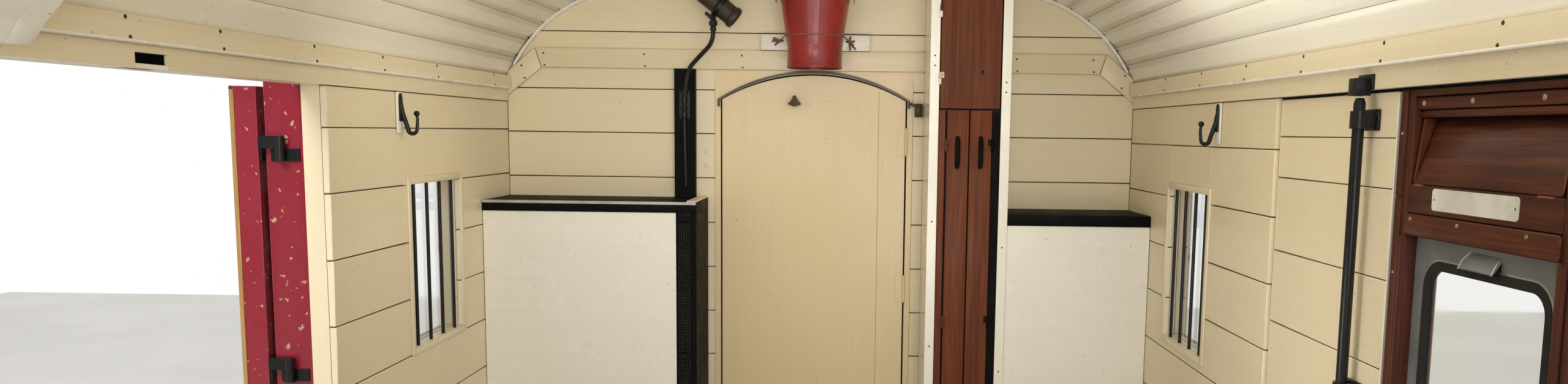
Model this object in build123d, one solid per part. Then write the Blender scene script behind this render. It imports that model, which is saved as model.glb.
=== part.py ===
"""End section of an old railway coach body: its luggage compartment.

The body section stands on its own floor frame. It is open at the -Y end, where the rest of
the coach would carry on, and closed at the +Y end by a wall with an arched gangway door.
Frame: +Z up, +Y along the coach towards the end wall, X across it. The origin lies under
the middle of the compartment, on the underside of the middle cross bearer.
All sizes are millimetres. Heights written as "above floor" start at the floor boards' top.
"""
import os
from math import asin, cos, radians, sin, sqrt

from build123d import *

# Body shell
INNER_HALF = 1320        # centreline to the inner face of a side wall
SIDE_T = 80              # a side wall with its frame, lining and outside panel
LENGTH = 3700            # open end to the inner face of the end wall
END_T = 90               # end wall
SILL_W = 130
SILL_H = 160
BEARER_W = 90
BEARER_PITCH = 600
BEARERS = 5
FLOOR_T = 40
FLOOR_BOARD_W = 165
GROOVE_W = 5             # open joint between two boards
GROOVE_D = 4

# Roof section
EAVES_UP = 100.5         # the roof springs this far above the doorways' tops
CROWN_R = 2700
SHOULDER_SPAN = 350      # width of a shoulder arc, from the crown arc's end to the wall
SHOULDER_R = 620
ROOF_T = 60
ROOF_OVERHANG = 60

# Doorways in the side walls, above floor
DOORWAY_H = 1758
FAR_JAMB_FROM_END = 1612
BOARDED_W = 672
DROPLIGHT_W = 644
LIGHT_STILE = 61         # beside the drop light
LIGHT_LOW = 1008         # drop light, below the doorway's top
LIGHT_HIGH = 313
HOOD_LOW = 203           # ventilator hood above it
HOOD_HIGH = 65
PANE_MARGIN = 58
PANE_CORNER_R = 45
LEAF_T = 70
LEAF_GAP = 6
MEETING_BEVEL = 14       # the meeting edges slant so that each leaf can swing by itself
LEAF_OPEN_DEG = 175
PIN_PROUD = 58           # hinge pins stand this far outside the wall
KNUCKLE_R = 13
KNUCKLE_GAP = 0.6        # between the two halves of a hinge
POST_OFF = 16            # from a jamb to the post that carries its hinges
HINGE_POST_W = 60
HINGE_POST_CLEAR = 12    # from the post to a leaf that is folded back
HINGE_HEIGHTS = (300, 950, 1580)

# Arched gangway door in the end wall, above floor
END_DOOR_X = -27
END_DOOR_W = 774
END_DOOR_T = 45
END_DOOR_SPRING = 1777
END_DOOR_RISE = 103
END_DOOR_GAP = 7
END_FRAME_W = 24
END_FRAME_UP = 50        # frame over the arch
GANGWAY_W = 1160
GANGWAY_H = 2060
GANGWAY_RING = 60
GANGWAY_SIDE_RING = 120
GANGWAY_DEPTH = 150
END_HINGE_HEIGHTS = (330, 980, 1607)

# Cornices
CORNICE_T = 22
CORNICE_UP = 50          # above the doorways' tops
CORNICE_H = 54
RAIL_T = 8
END_CORNICE_UP = 20      # above the arched door's crown
END_CORNICE_H = 80
END_CORNICE_IN = 125     # its level part ends this far from the side walls

# Tall cupboard, above floor
CUPBOARD_X0 = 437
CUPBOARD_X1 = 753
CUPBOARD_DEPTH = 360
CUPBOARD_CLEAR = 30      # under the roof, over its outer corner
CUPBOARD_TOP_T = 20
POST_W = 36
CUPBOARD_BOARD = 18
CUPBOARD_DOOR_T = 22
CUPBOARD_GAP = 5
MID_RAIL_LOW = 1705
MID_RAIL_H = 33
PLINTH_H = 90
STILE_W = 29
SMALL_PIN_OUT = 6        # the cupboard hinges' pins stand this far before its doors
UPPER_HINGES = (0.25, 0.78)              # shares of the upper door's height
LOWER_HINGES = (200, 900, 1600)          # above floor
PULL_LENGTH = 126
PULL_W = 17
PULL_PROUD = 20
PULL_DOWN = 132          # a pull's middle below the mid rail

# Lockers beside the cupboard and in the left corner, above floor
LOCKER_DEPTH = 360
RIGHT_LOCKER_H = 1331
RIGHT_LOCKER_TOP_T = 43
LEFT_LOCKER_H = 1362
LEFT_LOCKER_TOP_T = 41
LEFT_LOCKER_X1 = -475
GRILLE_W = 81
LOCKER_BOARD = 18

# Fire bucket on its batten
BATTEN_X0 = -249
BATTEN_X1 = 205
BATTEN_H = 65
BUCKET_X = -20
BUCKET_DROP = 81         # its foot below the batten
BUCKET_H = 370
BUCKET_FOOT_H = 95
BUCKET_FOOT_R = 112
BUCKET_TOP_R = 158
BUCKET_SKIN = 3
BUCKET_FLOOR_UP = 30     # its floor above the foot's rim

# Post, tube and hose in the left corner, above floor
POST_X0 = -612
POST_X1 = -524
POST_T = 30
TUBE_R = 41
TUBE_END_X = -341
TUBE_END_UNDER = 286     # under the roof's crown
TUBE_SLOPE = 38.4
TUBE_LENGTH = 420
TUBE_FROM_END = 150
HOSE_R = 9
HOSE_DROP = 336          # its lower end below the fitting

# Barred windows in the far wall panels, above floor
WINDOW_FROM_END = 600
WINDOW_W = 459
WINDOW_LOW = 905
WINDOW_H = 550
BARS = 4
BAR_R = 6
PANE_T = 5

# Coat hooks and door bolt
HOOK_FROM_END = 1130
HOOK_HIGH = 1752
HOOK_LOW = 1634
HOOK_REACH = 50
HOOK_R = 6
BOLT_FROM_EDGE = 120
BOLT_R = 13
BOLT_LOW = 260
KEEPER_DROP = 14         # the keeper reaches this far below the lintel
BOLT_BRACKETS = (380, 1060, 1690)

CASING_LENGTH = 825      # boxed-in corner under the roof, from the open end
# from the left wall's face, above the doorways' tops
CASING_PROFILE = ((22, 18), (75, 18), (98, 54), (140, 100), (500, 460), (22, 542))
SEAT = 0.3               # clearance where a piece is seated on another

FLOOR_TOP = SILL_H + FLOOR_T
OUTER_HALF = INNER_HALF + SIDE_T
OPEN_Y = -LENGTH / 2
END_Y = LENGTH / 2
BACK_Y = END_Y + END_T
FAR_JAMB_Y = END_Y - FAR_JAMB_FROM_END
DOORWAY_W = BOARDED_W + DROPLIGHT_W + 3 * LEAF_GAP
NEAR_JAMB_Y = FAR_JAMB_Y - DOORWAY_W
END_DOOR_CROWN = END_DOOR_SPRING + END_DOOR_RISE
CORNICE_LOW = DOORWAY_H + CORNICE_UP
CORNICE_HIGH = CORNICE_LOW + CORNICE_H
END_CORNICE_LOW = END_DOOR_CROWN + END_CORNICE_UP
END_CORNICE_HIGH = END_CORNICE_LOW + END_CORNICE_H
END_CORNICE_HALF = INNER_HALF - END_CORNICE_IN
BATTEN_LOW = END_CORNICE_HIGH + 1
BATTEN_HIGH = BATTEN_LOW + BATTEN_H
BUCKET_BASE = BATTEN_LOW - BUCKET_DROP
MID_RAIL_HIGH = MID_RAIL_LOW + MID_RAIL_H
PULL_MID = MID_RAIL_LOW - PULL_DOWN
DOORWAY_MID_Y = (FAR_JAMB_Y + NEAR_JAMB_Y) / 2
PIN_X = OUTER_HALF + PIN_PROUD
BOLT_X = INNER_HALF - RAIL_T - BOLT_R - 2
EAVES_Z = FLOOR_TOP + DOORWAY_H + EAVES_UP
CROWN_HALF = INNER_HALF - SHOULDER_SPAN
CROWN_SLOPE = asin(CROWN_HALF / CROWN_R)
SHOULDER_X = CROWN_HALF - SHOULDER_R * sin(CROWN_SLOPE)
SHOULDER_Z = EAVES_Z - sqrt(SHOULDER_R ** 2 - (INNER_HALF - SHOULDER_X) ** 2)
CROWN_Z = SHOULDER_Z - (CROWN_R - SHOULDER_R) * cos(CROWN_SLOPE)
CUPBOARD_TOP = CROWN_Z + sqrt(CROWN_R ** 2 - CUPBOARD_X1 ** 2) - CUPBOARD_CLEAR - FLOOR_TOP
CUPBOARD_FRONT_Y = END_Y - CUPBOARD_DEPTH
LOCKER_FRONT_Y = END_Y - LOCKER_DEPTH


def block(x, y, z):
    """A box from three (low, high) pairs, in any order within a pair."""
    sizes = [abs(pair[1] - pair[0]) for pair in (x, y, z)]
    middles = [(pair[0] + pair[1]) / 2 for pair in (x, y, z)]
    return Pos(*middles) * Box(*sizes)


def up(*heights):
    """Heights above floor as heights above the ground."""
    return tuple(FLOOR_TOP + height for height in heights)


def along_y(face, y0, y1):
    """A face drawn with X across and its Y upwards, carried along the coach."""
    return Pos(0, y1, 0) * Rot(90, 0, 0) * extrude(face, y1 - y0)


def post(radius, x, y, z):
    """An upright cylinder with its height given as a (low, high) pair."""
    return Pos(x, y, (z[0] + z[1]) / 2) * Cylinder(radius, z[1] - z[0])


def both_sides(shape):
    """A piece on the right side and its mirror image on the left."""
    return Compound(children=[shape, mirror(shape, about=Plane.YZ)])


def half_turn(shape):
    """The right doorway's piece turned round into the left doorway."""
    return Pos(0, 2 * DOORWAY_MID_Y, 0) * Rot(0, 0, 180) * shape


def turned_about(shape, x, y, angle):
    """A piece swung about an upright axis."""
    return Pos(x, y, 0) * Rot(0, 0, angle) * Pos(-x, -y, 0) * shape


def save(name, *solids):
    """One named sub-part, from one solid or several that don't touch."""
    shape = solids[0] if len(solids) == 1 else Compound(children=list(solids))
    export_step(shape, os.path.join("parts", name + ".step"))


def crown_point(angle, offset):
    """A point of the crown arc, offset outwards."""
    radius = CROWN_R + offset
    return (radius * sin(angle), CROWN_Z + radius * cos(angle))


def shoulder_point(angle, offset):
    """A point of the right shoulder arc, offset outwards."""
    radius = SHOULDER_R + offset
    return (SHOULDER_X + radius * sin(angle), SHOULDER_Z + radius * cos(angle))


def shoulder_angle(z, offset):
    """The shoulder's slope where it comes down to a height above the ground."""
    rise = (z - SHOULDER_Z) / (SHOULDER_R + offset)
    return asin(sqrt(1 - rise * rise))


def flip(point):
    """The mirror image of an (x, z) point."""
    return (-point[0], point[1])


def under_roof(offset, foot_z):
    """The coach's inside outline, from a foot height up to the roof."""
    slope = shoulder_angle(EAVES_Z, offset)
    eaves = shoulder_point(slope, offset)
    middle = shoulder_point((slope + CROWN_SLOPE) / 2, offset)
    knee = crown_point(CROWN_SLOPE, offset)
    top = crown_point(0, offset)
    half = eaves[0]
    return make_face([
        Line((-half, foot_z), (half, foot_z)),
        Line((half, foot_z), eaves),
        ThreePointArc(eaves, middle, knee),
        ThreePointArc(knee, top, flip(knee)),
        ThreePointArc(flip(knee), flip(middle), flip(eaves)),
        Line(flip(eaves), (-half, foot_z)),
    ])


def inside_room(y0, y1, offset=0):
    """The solid room under the roof, to trim pieces that meet the roof."""
    return along_y(under_roof(offset, SILL_H), y0, y1)


def floor_frame():
    """Side sills, cross bearers and end beams that carry the floor and walls."""
    sill = block((OUTER_HALF - SILL_W, OUTER_HALF), (OPEN_Y, BACK_Y), (0, SILL_H))
    save("side_sills", *both_sides(sill).children)
    inside = OUTER_HALF - SILL_W
    bearers = []
    for number in range(BEARERS):
        y = (number - (BEARERS - 1) / 2) * BEARER_PITCH
        bearers.append(block((-inside, inside), (y - BEARER_W / 2, y + BEARER_W / 2), (0, SILL_H)))
    open_beam = block((-inside, inside), (OPEN_Y, OPEN_Y + BEARER_W), (0, SILL_H))
    end_beam = block((-inside, inside), (END_Y, BACK_Y), (0, SILL_H))
    save("cross_bearers", open_beam, *bearers, end_beam)


def floor_boards():
    """The boarded floor, with an open joint between boards."""
    floor = block((-INNER_HALF, INNER_HALF), (OPEN_Y, END_Y), (SILL_H, FLOOR_TOP))
    joints = int(INNER_HALF / FLOOR_BOARD_W)
    for number in range(-joints, joints + 1):
        x = number * FLOOR_BOARD_W
        floor -= block((x - GROOVE_W / 2, x + GROOVE_W / 2), (OPEN_Y, END_Y),
                       (FLOOR_TOP - GROOVE_D, FLOOR_TOP))
    tread = block((INNER_HALF, OUTER_HALF - LEAF_T - LEAF_GAP), (NEAR_JAMB_Y, FAR_JAMB_Y),
                  (SILL_H, FLOOR_TOP))
    save("floor_boards", floor + tread + mirror(tread, about=Plane.YZ))


def side_wall(y0, y1, joints, beads):
    """A right side wall panel with boarded lining and beaded outside."""
    top = FLOOR_TOP + DOORWAY_H
    wall = block((INNER_HALF, OUTER_HALF), (y0, y1), (SILL_H, top))
    for height in joints:
        z = FLOOR_TOP + height
        wall -= block((INNER_HALF, INNER_HALF + GROOVE_D), (y0, y1), (z - GROOVE_W / 2, z + GROOVE_W / 2))
    bead_w = 32
    bead_t = 12
    for height in (20, 840, 1180):
        wall += block((OUTER_HALF, OUTER_HALF + bead_t), beads, up(height, height + bead_w))
    return wall


def barred_window():
    """The opening of the right far panel's window, its pane and its bars on the inside."""
    y1 = END_Y - WINDOW_FROM_END
    y0 = y1 - WINDOW_W
    low, high = up(WINDOW_LOW, WINDOW_LOW + WINDOW_H)
    opening = block((INNER_HALF - 1, OUTER_HALF + 20), (y0, y1), (low, high))
    pane_x = OUTER_HALF - SIDE_T / 2
    pane = block((pane_x, pane_x + PANE_T), (y0, y1), (low, high))
    bar_x = INNER_HALF + 2 * BAR_R
    pitch = WINDOW_W / BARS
    bars = [post(BAR_R, bar_x, y0 + (number + 0.5) * pitch, (low, high)) for number in range(BARS)]
    return opening, pane, bars


def side_walls():
    """Two side walls, each of two panels with the doorway between them."""
    joints_left = (1640, 1455, 1265, 1075, 885, 695, 505, 315, 125)       # above floor
    joints_right = (1614, 1425, 1235, 1045, 855, 665, 475, 285, 95)       # above floor
    opening, pane, bars = barred_window()
    off = POST_OFF + HINGE_POST_W
    far_beads = (FAR_JAMB_Y + off, BACK_Y)
    near_beads = (OPEN_Y, NEAR_JAMB_Y - off)
    panels = {}
    for side, joints in (("left", joints_left), ("right", joints_right)):
        far = side_wall(FAR_JAMB_Y, BACK_Y, joints, far_beads) - opening
        panels[side] = [far, side_wall(OPEN_Y, NEAR_JAMB_Y, joints, near_beads)]
    save("wall_left", *[mirror(panel, about=Plane.YZ) for panel in panels["left"]])
    save("wall_right", *panels["right"])
    save("window_panes", *both_sides(pane).children)
    save("window_bars", *bars, *[mirror(bar, about=Plane.YZ) for bar in bars])


def cantrails():
    """The long top beams over walls and doorways, with the left one's bolt slot."""
    low = FLOOR_TOP + DOORWAY_H
    roof_edge = shoulder_point(shoulder_angle(EAVES_Z, ROOF_T), ROOF_T)[0]
    shoulder_low = EAVES_Z - 25
    outline = Polyline(
        (INNER_HALF, low), (OUTER_HALF, low), (OUTER_HALF, shoulder_low),
        (roof_edge, EAVES_Z), (INNER_HALF, EAVES_Z), (INNER_HALF, low),
    )
    right = along_y(make_face(outline), OPEN_Y, BACK_Y)
    left = mirror(right, about=Plane.YZ)
    slot_mid = 2 * DOORWAY_MID_Y - (FAR_JAMB_Y - LEAF_GAP - BOARDED_W + BOLT_FROM_EDGE)
    left -= block((-INNER_HALF - 40, -INNER_HALF), (slot_mid - 54, slot_mid + 54), (low, low + 32))
    strip = block((OUTER_HALF, OUTER_HALF + 25), (OPEN_Y, BACK_Y), (low + 30, low + 66))
    strip = fillet(strip.edges().filter_by(Axis.Y).group_by(Axis.X)[-1], 10)
    save("cantrails", right + strip, left + mirror(strip, about=Plane.YZ))


def roof():
    """The roof in three strips that meet where the curve changes."""
    eave_in = shoulder_angle(EAVES_Z, 0)
    eave_out = shoulder_angle(EAVES_Z, ROOF_T)
    y1 = BACK_Y + ROOF_OVERHANG
    knee_in = crown_point(CROWN_SLOPE, 0)
    knee_out = crown_point(CROWN_SLOPE, ROOF_T)
    crown = make_face([
        ThreePointArc(flip(knee_in), crown_point(0, 0), knee_in),
        Line(knee_in, knee_out),
        ThreePointArc(knee_out, crown_point(0, ROOF_T), flip(knee_out)),
        Line(flip(knee_out), flip(knee_in)),
    ])
    save("roof_crown", along_y(crown, OPEN_Y, y1))
    low_in = shoulder_point(eave_in, 0)
    low_out = shoulder_point(eave_out, ROOF_T)
    shoulder = make_face([
        ThreePointArc(knee_in, shoulder_point((CROWN_SLOPE + eave_in) / 2, 0), low_in),
        Line(low_in, low_out),
        ThreePointArc(low_out, shoulder_point((CROWN_SLOPE + eave_out) / 2, ROOF_T), knee_out),
        Line(knee_out, knee_in),
    ])
    right = along_y(shoulder, OPEN_Y, y1)
    save("roof_shoulders", right, mirror(right, about=Plane.YZ))


def door_outline(half, spring, crown, foot):
    """An arched outline about the gangway door's middle line, drawn upwards."""
    return make_face([
        Line((END_DOOR_X - half, foot), (END_DOOR_X + half, foot)),
        Line((END_DOOR_X + half, foot), (END_DOOR_X + half, spring)),
        ThreePointArc((END_DOOR_X + half, spring), (END_DOOR_X, crown), (END_DOOR_X - half, spring)),
        Line((END_DOOR_X - half, spring), (END_DOOR_X - half, foot)),
    ])


def end_wall():
    """End wall panels, the arched door frame, its bead and the gangway outside."""
    room = inside_room(END_Y, BACK_Y)
    opening = END_DOOR_W / 2 + END_DOOR_GAP
    frame_half = opening + END_FRAME_W
    frame_top = FLOOR_TOP + END_DOOR_CROWN + END_FRAME_UP
    left = block((-INNER_HALF, END_DOOR_X - frame_half), (END_Y, BACK_Y), (SILL_H, frame_top)) & room
    right = block((END_DOOR_X + frame_half, INNER_HALF), (END_Y, BACK_Y), (SILL_H, frame_top)) & room
    head = block((-INNER_HALF, INNER_HALF), (END_Y, BACK_Y), (frame_top, frame_top + 600)) & room
    joints = (2052, 1815, 1632, 1445, 1255, 1065, 875, 685, 495, 305, 115)   # above floor
    cuts = [block((-INNER_HALF, INNER_HALF), (END_Y, END_Y + GROOVE_D),
                  up(height - GROOVE_W / 2, height + GROOVE_W / 2)) for height in joints]
    save("end_wall_head", head - cuts[0])
    save("end_wall_left", left - cuts[1:])
    save("end_wall_right", right - cuts[1:])
    spring = FLOOR_TOP + END_DOOR_SPRING
    crown = FLOOR_TOP + END_DOOR_CROWN + END_DOOR_GAP
    hole = door_outline(opening, spring, crown, SILL_H - 1)
    ring = block((END_DOOR_X - frame_half, END_DOOR_X + frame_half), (END_Y, BACK_Y), (SILL_H, frame_top))
    save("end_door_frame", ring - along_y(hole, END_Y - 1, BACK_Y + 1))
    bead_outer = door_outline(opening + 12, spring, crown + 12, spring - 30)
    bead_inner = door_outline(opening + 2, spring, crown + 2, spring - 31)
    save("door_head_bead", along_y(bead_outer - bead_inner, END_Y - 12, END_Y))
    clear_w = GANGWAY_W - 2 * GANGWAY_SIDE_RING
    clear_h = GANGWAY_H - 2 * GANGWAY_RING
    ring = RectangleRounded(GANGWAY_W, GANGWAY_H, 120) - RectangleRounded(clear_w, clear_h, 90)
    ring = Pos(END_DOOR_X, FLOOR_TOP + clear_h / 2) * ring
    save("gangway_surround", along_y(ring, BACK_Y, BACK_Y + GANGWAY_DEPTH))


def end_door():
    """The arched gangway door, hung on its right edge and opening into the room."""
    half = END_DOOR_W / 2
    foot = FLOOR_TOP + 8
    leaf = along_y(door_outline(half, FLOOR_TOP + END_DOOR_SPRING, FLOOR_TOP + END_DOOR_CROWN, foot),
                   END_Y, END_Y + END_DOOR_T)
    save("end_door", leaf)
    pin_x = END_DOOR_X + half + END_DOOR_GAP / 2
    knuckles = []
    for height in END_HINGE_HEIGHTS:
        low, high = up(height - 58, height + 58)
        knuckle = post(6, pin_x, END_Y - 6, (low, high))
        flap = block((pin_x - 34, pin_x), (END_Y - 3, END_Y), (low, high))
        knuckles.append(knuckle + flap)
    save("end_door_hinges", *knuckles)
    hook_x = -107
    hook_z = FLOOR_TOP + 1772
    stem = Pos(hook_x, END_Y - 25, hook_z) * Rot(90, 0, 0) * Cylinder(8, 50)
    profile = make_face(Polyline((0, 0), (28, 0), (9, 34), (0, 34), (0, 0)))
    bell = Pos(hook_x, END_Y - 44, hook_z - 14) * revolve(Rot(90, 0, 0) * profile, Axis.Z)
    save("end_door_hook", stem + bell)


def cornices():
    """Boards that cover the joints between the roof and the walls."""
    slope = shoulder_angle(FLOOR_TOP + CORNICE_HIGH, 0)
    roof_x = shoulder_point(slope, 0)[0] - SEAT
    face_x = INNER_HALF - CORNICE_T
    side = make_face(Polyline(
        (INNER_HALF, FLOOR_TOP + CORNICE_LOW), (INNER_HALF - RAIL_T, FLOOR_TOP + CORNICE_LOW),
        (face_x, FLOOR_TOP + CORNICE_LOW + 6),
        (face_x, FLOOR_TOP + CORNICE_HIGH), (roof_x, FLOOR_TOP + CORNICE_HIGH),
        (INNER_HALF, EAVES_Z - 1), (INNER_HALF, FLOOR_TOP + CORNICE_LOW),
    ))
    rail = block((INNER_HALF - RAIL_T, INNER_HALF), (OPEN_Y, END_Y - CORNICE_T), up(DOORWAY_H, CORNICE_LOW))
    right = along_y(side, OPEN_Y, END_Y - CORNICE_T)
    slot_mid = 2 * DOORWAY_MID_Y - (FAR_JAMB_Y - LEAF_GAP - BOARDED_W + BOLT_FROM_EDGE)
    left = mirror(right + rail, about=Plane.YZ)
    left -= block((-INNER_HALF, -INNER_HALF + RAIL_T), (slot_mid - 54, slot_mid + 54),
                       up(DOORWAY_H, DOORWAY_H + 32))
    save("side_cornices", right + rail, left)
    low = FLOOR_TOP + END_CORNICE_LOW
    high = FLOOR_TOP + END_CORNICE_HIGH
    drop_low = FLOOR_TOP + DOORWAY_H + 20
    drop_high = FLOOR_TOP + CORNICE_HIGH + 12
    inner = END_CORNICE_HALF - 25
    outline = Polyline(
        (-INNER_HALF, drop_high), (-END_CORNICE_HALF, high), (END_CORNICE_HALF, high),
        (INNER_HALF, drop_high), (INNER_HALF, drop_low), (inner, low), (-inner, low),
        (-INNER_HALF, drop_low), (-INNER_HALF, drop_high),
    )
    board = along_y(make_face(outline), END_Y - CORNICE_T, END_Y) & inside_room(OPEN_Y, END_Y)
    save("cornice_end", board)
    ring = under_roof(-SEAT, EAVES_Z - 60) - under_roof(-14, EAVES_Z - 61)
    ring = along_y(ring, END_Y - 14, END_Y)
    cap_low = high + 50
    cap = block((-INNER_HALF, INNER_HALF), (END_Y - 20, END_Y), (cap_low, cap_low + 1000))
    save("roof_bead", ring & cap)


def small_hinge(pin_x, side, seat_y, height):
    """A cupboard hinge: the fixed half on its post or stile, and the door's half."""
    pin_y = CUPBOARD_FRONT_Y - SMALL_PIN_OUT
    low, mid, high = up(height - 24, height, height + 24)
    fixed = block((pin_x, pin_x + side * 16), (pin_y + 3, seat_y), (low, mid))
    fixed += post(5, pin_x, pin_y, (low, mid))
    upper = (mid + KNUCKLE_GAP, high)
    moving = block((pin_x, pin_x - side * 16), (pin_y + 3, CUPBOARD_FRONT_Y), upper)
    return fixed, moving + post(5, pin_x, pin_y, upper)


def cupboard():
    """The tall cupboard right of the gangway door: carcase, one door above and two below."""
    front = CUPBOARD_FRONT_Y
    x0 = CUPBOARD_X0
    x1 = CUPBOARD_X1
    back = END_Y - SEAT
    for_height = up(0, CUPBOARD_TOP)
    left_post = block((x0, x0 + POST_W), (front, front + POST_W), for_height)
    right_post = block((x1 - POST_W, x1), (front, front + POST_W), for_height)
    save("cupboard_posts", left_post, right_post)
    cornice = along_y(make_face(Polyline(
        (x0 - 5, FLOOR_TOP + END_CORNICE_LOW - 1), (x1 + 5, FLOOR_TOP + END_CORNICE_LOW - 1),
        (x1 + 5, FLOOR_TOP + END_CORNICE_HIGH + 1), (x0 - 5, FLOOR_TOP + END_CORNICE_HIGH + 1),
        (x0 - 5, FLOOR_TOP + END_CORNICE_LOW - 1),
    )), END_Y - CORNICE_T - SEAT, END_Y)
    left_side = block((x0, x0 + CUPBOARD_BOARD), (front + POST_W, back), for_height) - cornice
    right_side = block((x1 - CUPBOARD_BOARD, x1), (front + POST_W, back), for_height) - cornice
    inner = (x0 + POST_W, x1 - POST_W)
    wide = (x0 + CUPBOARD_BOARD, x1 - CUPBOARD_BOARD)
    top = block(wide, (front + POST_W, back), up(CUPBOARD_TOP - CUPBOARD_TOP_T, CUPBOARD_TOP))
    shelf = block(wide, (front + POST_W, back), up(MID_RAIL_LOW, MID_RAIL_HIGH))
    base = block(wide, (front + POST_W, back), up(PLINTH_H - 20, PLINTH_H))
    save("cupboard_carcase", left_side + right_side + top + shelf + base)
    rail = block(inner, (front + 4, front + POST_W), up(MID_RAIL_LOW, MID_RAIL_HIGH))
    plinth = block(inner, (front + 4, front + POST_W), up(0, PLINTH_H))
    header = block(inner, (front + 4, front + POST_W), up(CUPBOARD_TOP - CUPBOARD_TOP_T, CUPBOARD_TOP))
    stile = block((inner[0], inner[0] + STILE_W), (front + 4, front + 4 + CUPBOARD_DOOR_T),
                  up(PLINTH_H, MID_RAIL_LOW))
    strip = block((inner[1] - STILE_W, inner[1]), (front + 12, front + 4 + CUPBOARD_DOOR_T),
                  up(PLINTH_H, MID_RAIL_LOW))
    save("cupboard_face_frame", rail + plinth + header + stile + strip)
    gap = CUPBOARD_GAP
    upper = block((inner[0] + gap, inner[1] - gap), (front, front + CUPBOARD_DOOR_T),
                  up(MID_RAIL_HIGH + gap, CUPBOARD_TOP - CUPBOARD_TOP_T - gap))
    hinges = []
    for share in UPPER_HINGES:
        height = MID_RAIL_HIGH + share * (CUPBOARD_TOP - CUPBOARD_TOP_T - MID_RAIL_HIGH)
        fixed, moving = small_hinge(inner[0] + gap / 2, -1, front, height)
        hinges.append(fixed)
        upper += moving
    save("cupboard_upper_door", upper)
    low_x = (inner[0] + STILE_W + gap, inner[1] - STILE_W - gap)
    mid_x = (low_x[0] + low_x[1]) / 2
    # name, left x, right x, hinge side, hinge pin x, y of the face that carries the hinge
    for name, left, right, side, pin_x, seat_y in (
        ("cupboard_left_door", low_x[0], mid_x - gap / 2, -1, low_x[0] - gap / 2, front + 4),
        ("cupboard_right_door", mid_x + gap / 2, low_x[1], 1, low_x[1] + gap / 2, front + 12),
    ):
        panel = block((left, right), (front, front + CUPBOARD_DOOR_T),
                      up(PLINTH_H + gap, MID_RAIL_LOW - gap))
        middle = (left + right) / 2
        grip = block((middle - PULL_W / 2, middle + PULL_W / 2), (front - PULL_PROUD, front),
                     up(PULL_MID - PULL_LENGTH / 2, PULL_MID + PULL_LENGTH / 2))
        slot = block((middle - PULL_W, middle + PULL_W), (front - PULL_PROUD + 8, front),
                     up(PULL_MID - PULL_LENGTH / 2 + 16, PULL_MID + PULL_LENGTH / 2 - 16))
        panel += grip - slot
        for height in LOWER_HINGES:
            fixed, moving = small_hinge(pin_x, side, seat_y, height)
            hinges.append(fixed)
            panel += moving
        save(name, panel)
    save("cupboard_hinges", *hinges)


def lockers():
    """The two waist-high lockers against the end wall."""
    back = END_Y - SEAT
    front = LOCKER_FRONT_Y
    right_x = (CUPBOARD_X1 + SEAT, INNER_HALF - SEAT)
    top = block(right_x, (front, back), up(RIGHT_LOCKER_H - RIGHT_LOCKER_TOP_T, RIGHT_LOCKER_H))
    panel = block(right_x, (front + 6, front + 6 + LOCKER_BOARD),
                  up(0, RIGHT_LOCKER_H - RIGHT_LOCKER_TOP_T))
    save("locker_right_top", top)
    save("locker_right_front", panel)
    x0 = -INNER_HALF + SEAT
    x1 = LEFT_LOCKER_X1
    under = LEFT_LOCKER_H - LEFT_LOCKER_TOP_T
    top = block((x0, x1), (front, back), up(under, LEFT_LOCKER_H))
    panel = block((x0, x1 - GRILLE_W), (front + 6, front + 6 + LOCKER_BOARD), up(0, under))
    grille = block((x1 - GRILLE_W, x1 - LOCKER_BOARD), (front + 6, front + 12), up(0, under))
    end = block((x1 - LOCKER_BOARD, x1), (front + 6, back), up(0, under))
    save("locker_left_top", top)
    save("locker_left_box", panel + grille + end)


def bucket():
    """The fire bucket tied to its batten, with a foot ring and a raised floor."""
    flare = (BUCKET_TOP_R - BUCKET_FOOT_R) / (BUCKET_H - BUCKET_FOOT_H)
    batten_r = BUCKET_FOOT_R + flare * (BATTEN_HIGH - BUCKET_BASE - BUCKET_FOOT_H)
    axis_y = END_Y - BUCKET_TOP_R - BUCKET_SKIN
    batten_y = axis_y + batten_r + SEAT
    save("bucket_batten", block((BATTEN_X0, BATTEN_X1), (batten_y, END_Y), up(BATTEN_LOW, BATTEN_HIGH)))
    skin = BUCKET_SKIN
    profile = make_face(Polyline(
        (BUCKET_FOOT_R - skin, 0), (BUCKET_FOOT_R, 0), (BUCKET_FOOT_R, BUCKET_FOOT_H),
        (BUCKET_TOP_R, BUCKET_H), (BUCKET_TOP_R - skin, BUCKET_H),
        (BUCKET_FOOT_R - skin, BUCKET_FOOT_H), (BUCKET_FOOT_R - skin, BUCKET_FLOOR_UP + skin),
        (0, BUCKET_FLOOR_UP + skin), (0, BUCKET_FLOOR_UP),
        (BUCKET_FOOT_R - skin, BUCKET_FLOOR_UP), (BUCKET_FOOT_R - skin, 0),
    ))
    shell = revolve(Rot(90, 0, 0) * profile, Axis.Z)
    save("fire_bucket", Pos(BUCKET_X, axis_y, FLOOR_TOP + BUCKET_BASE) * shell)


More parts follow.
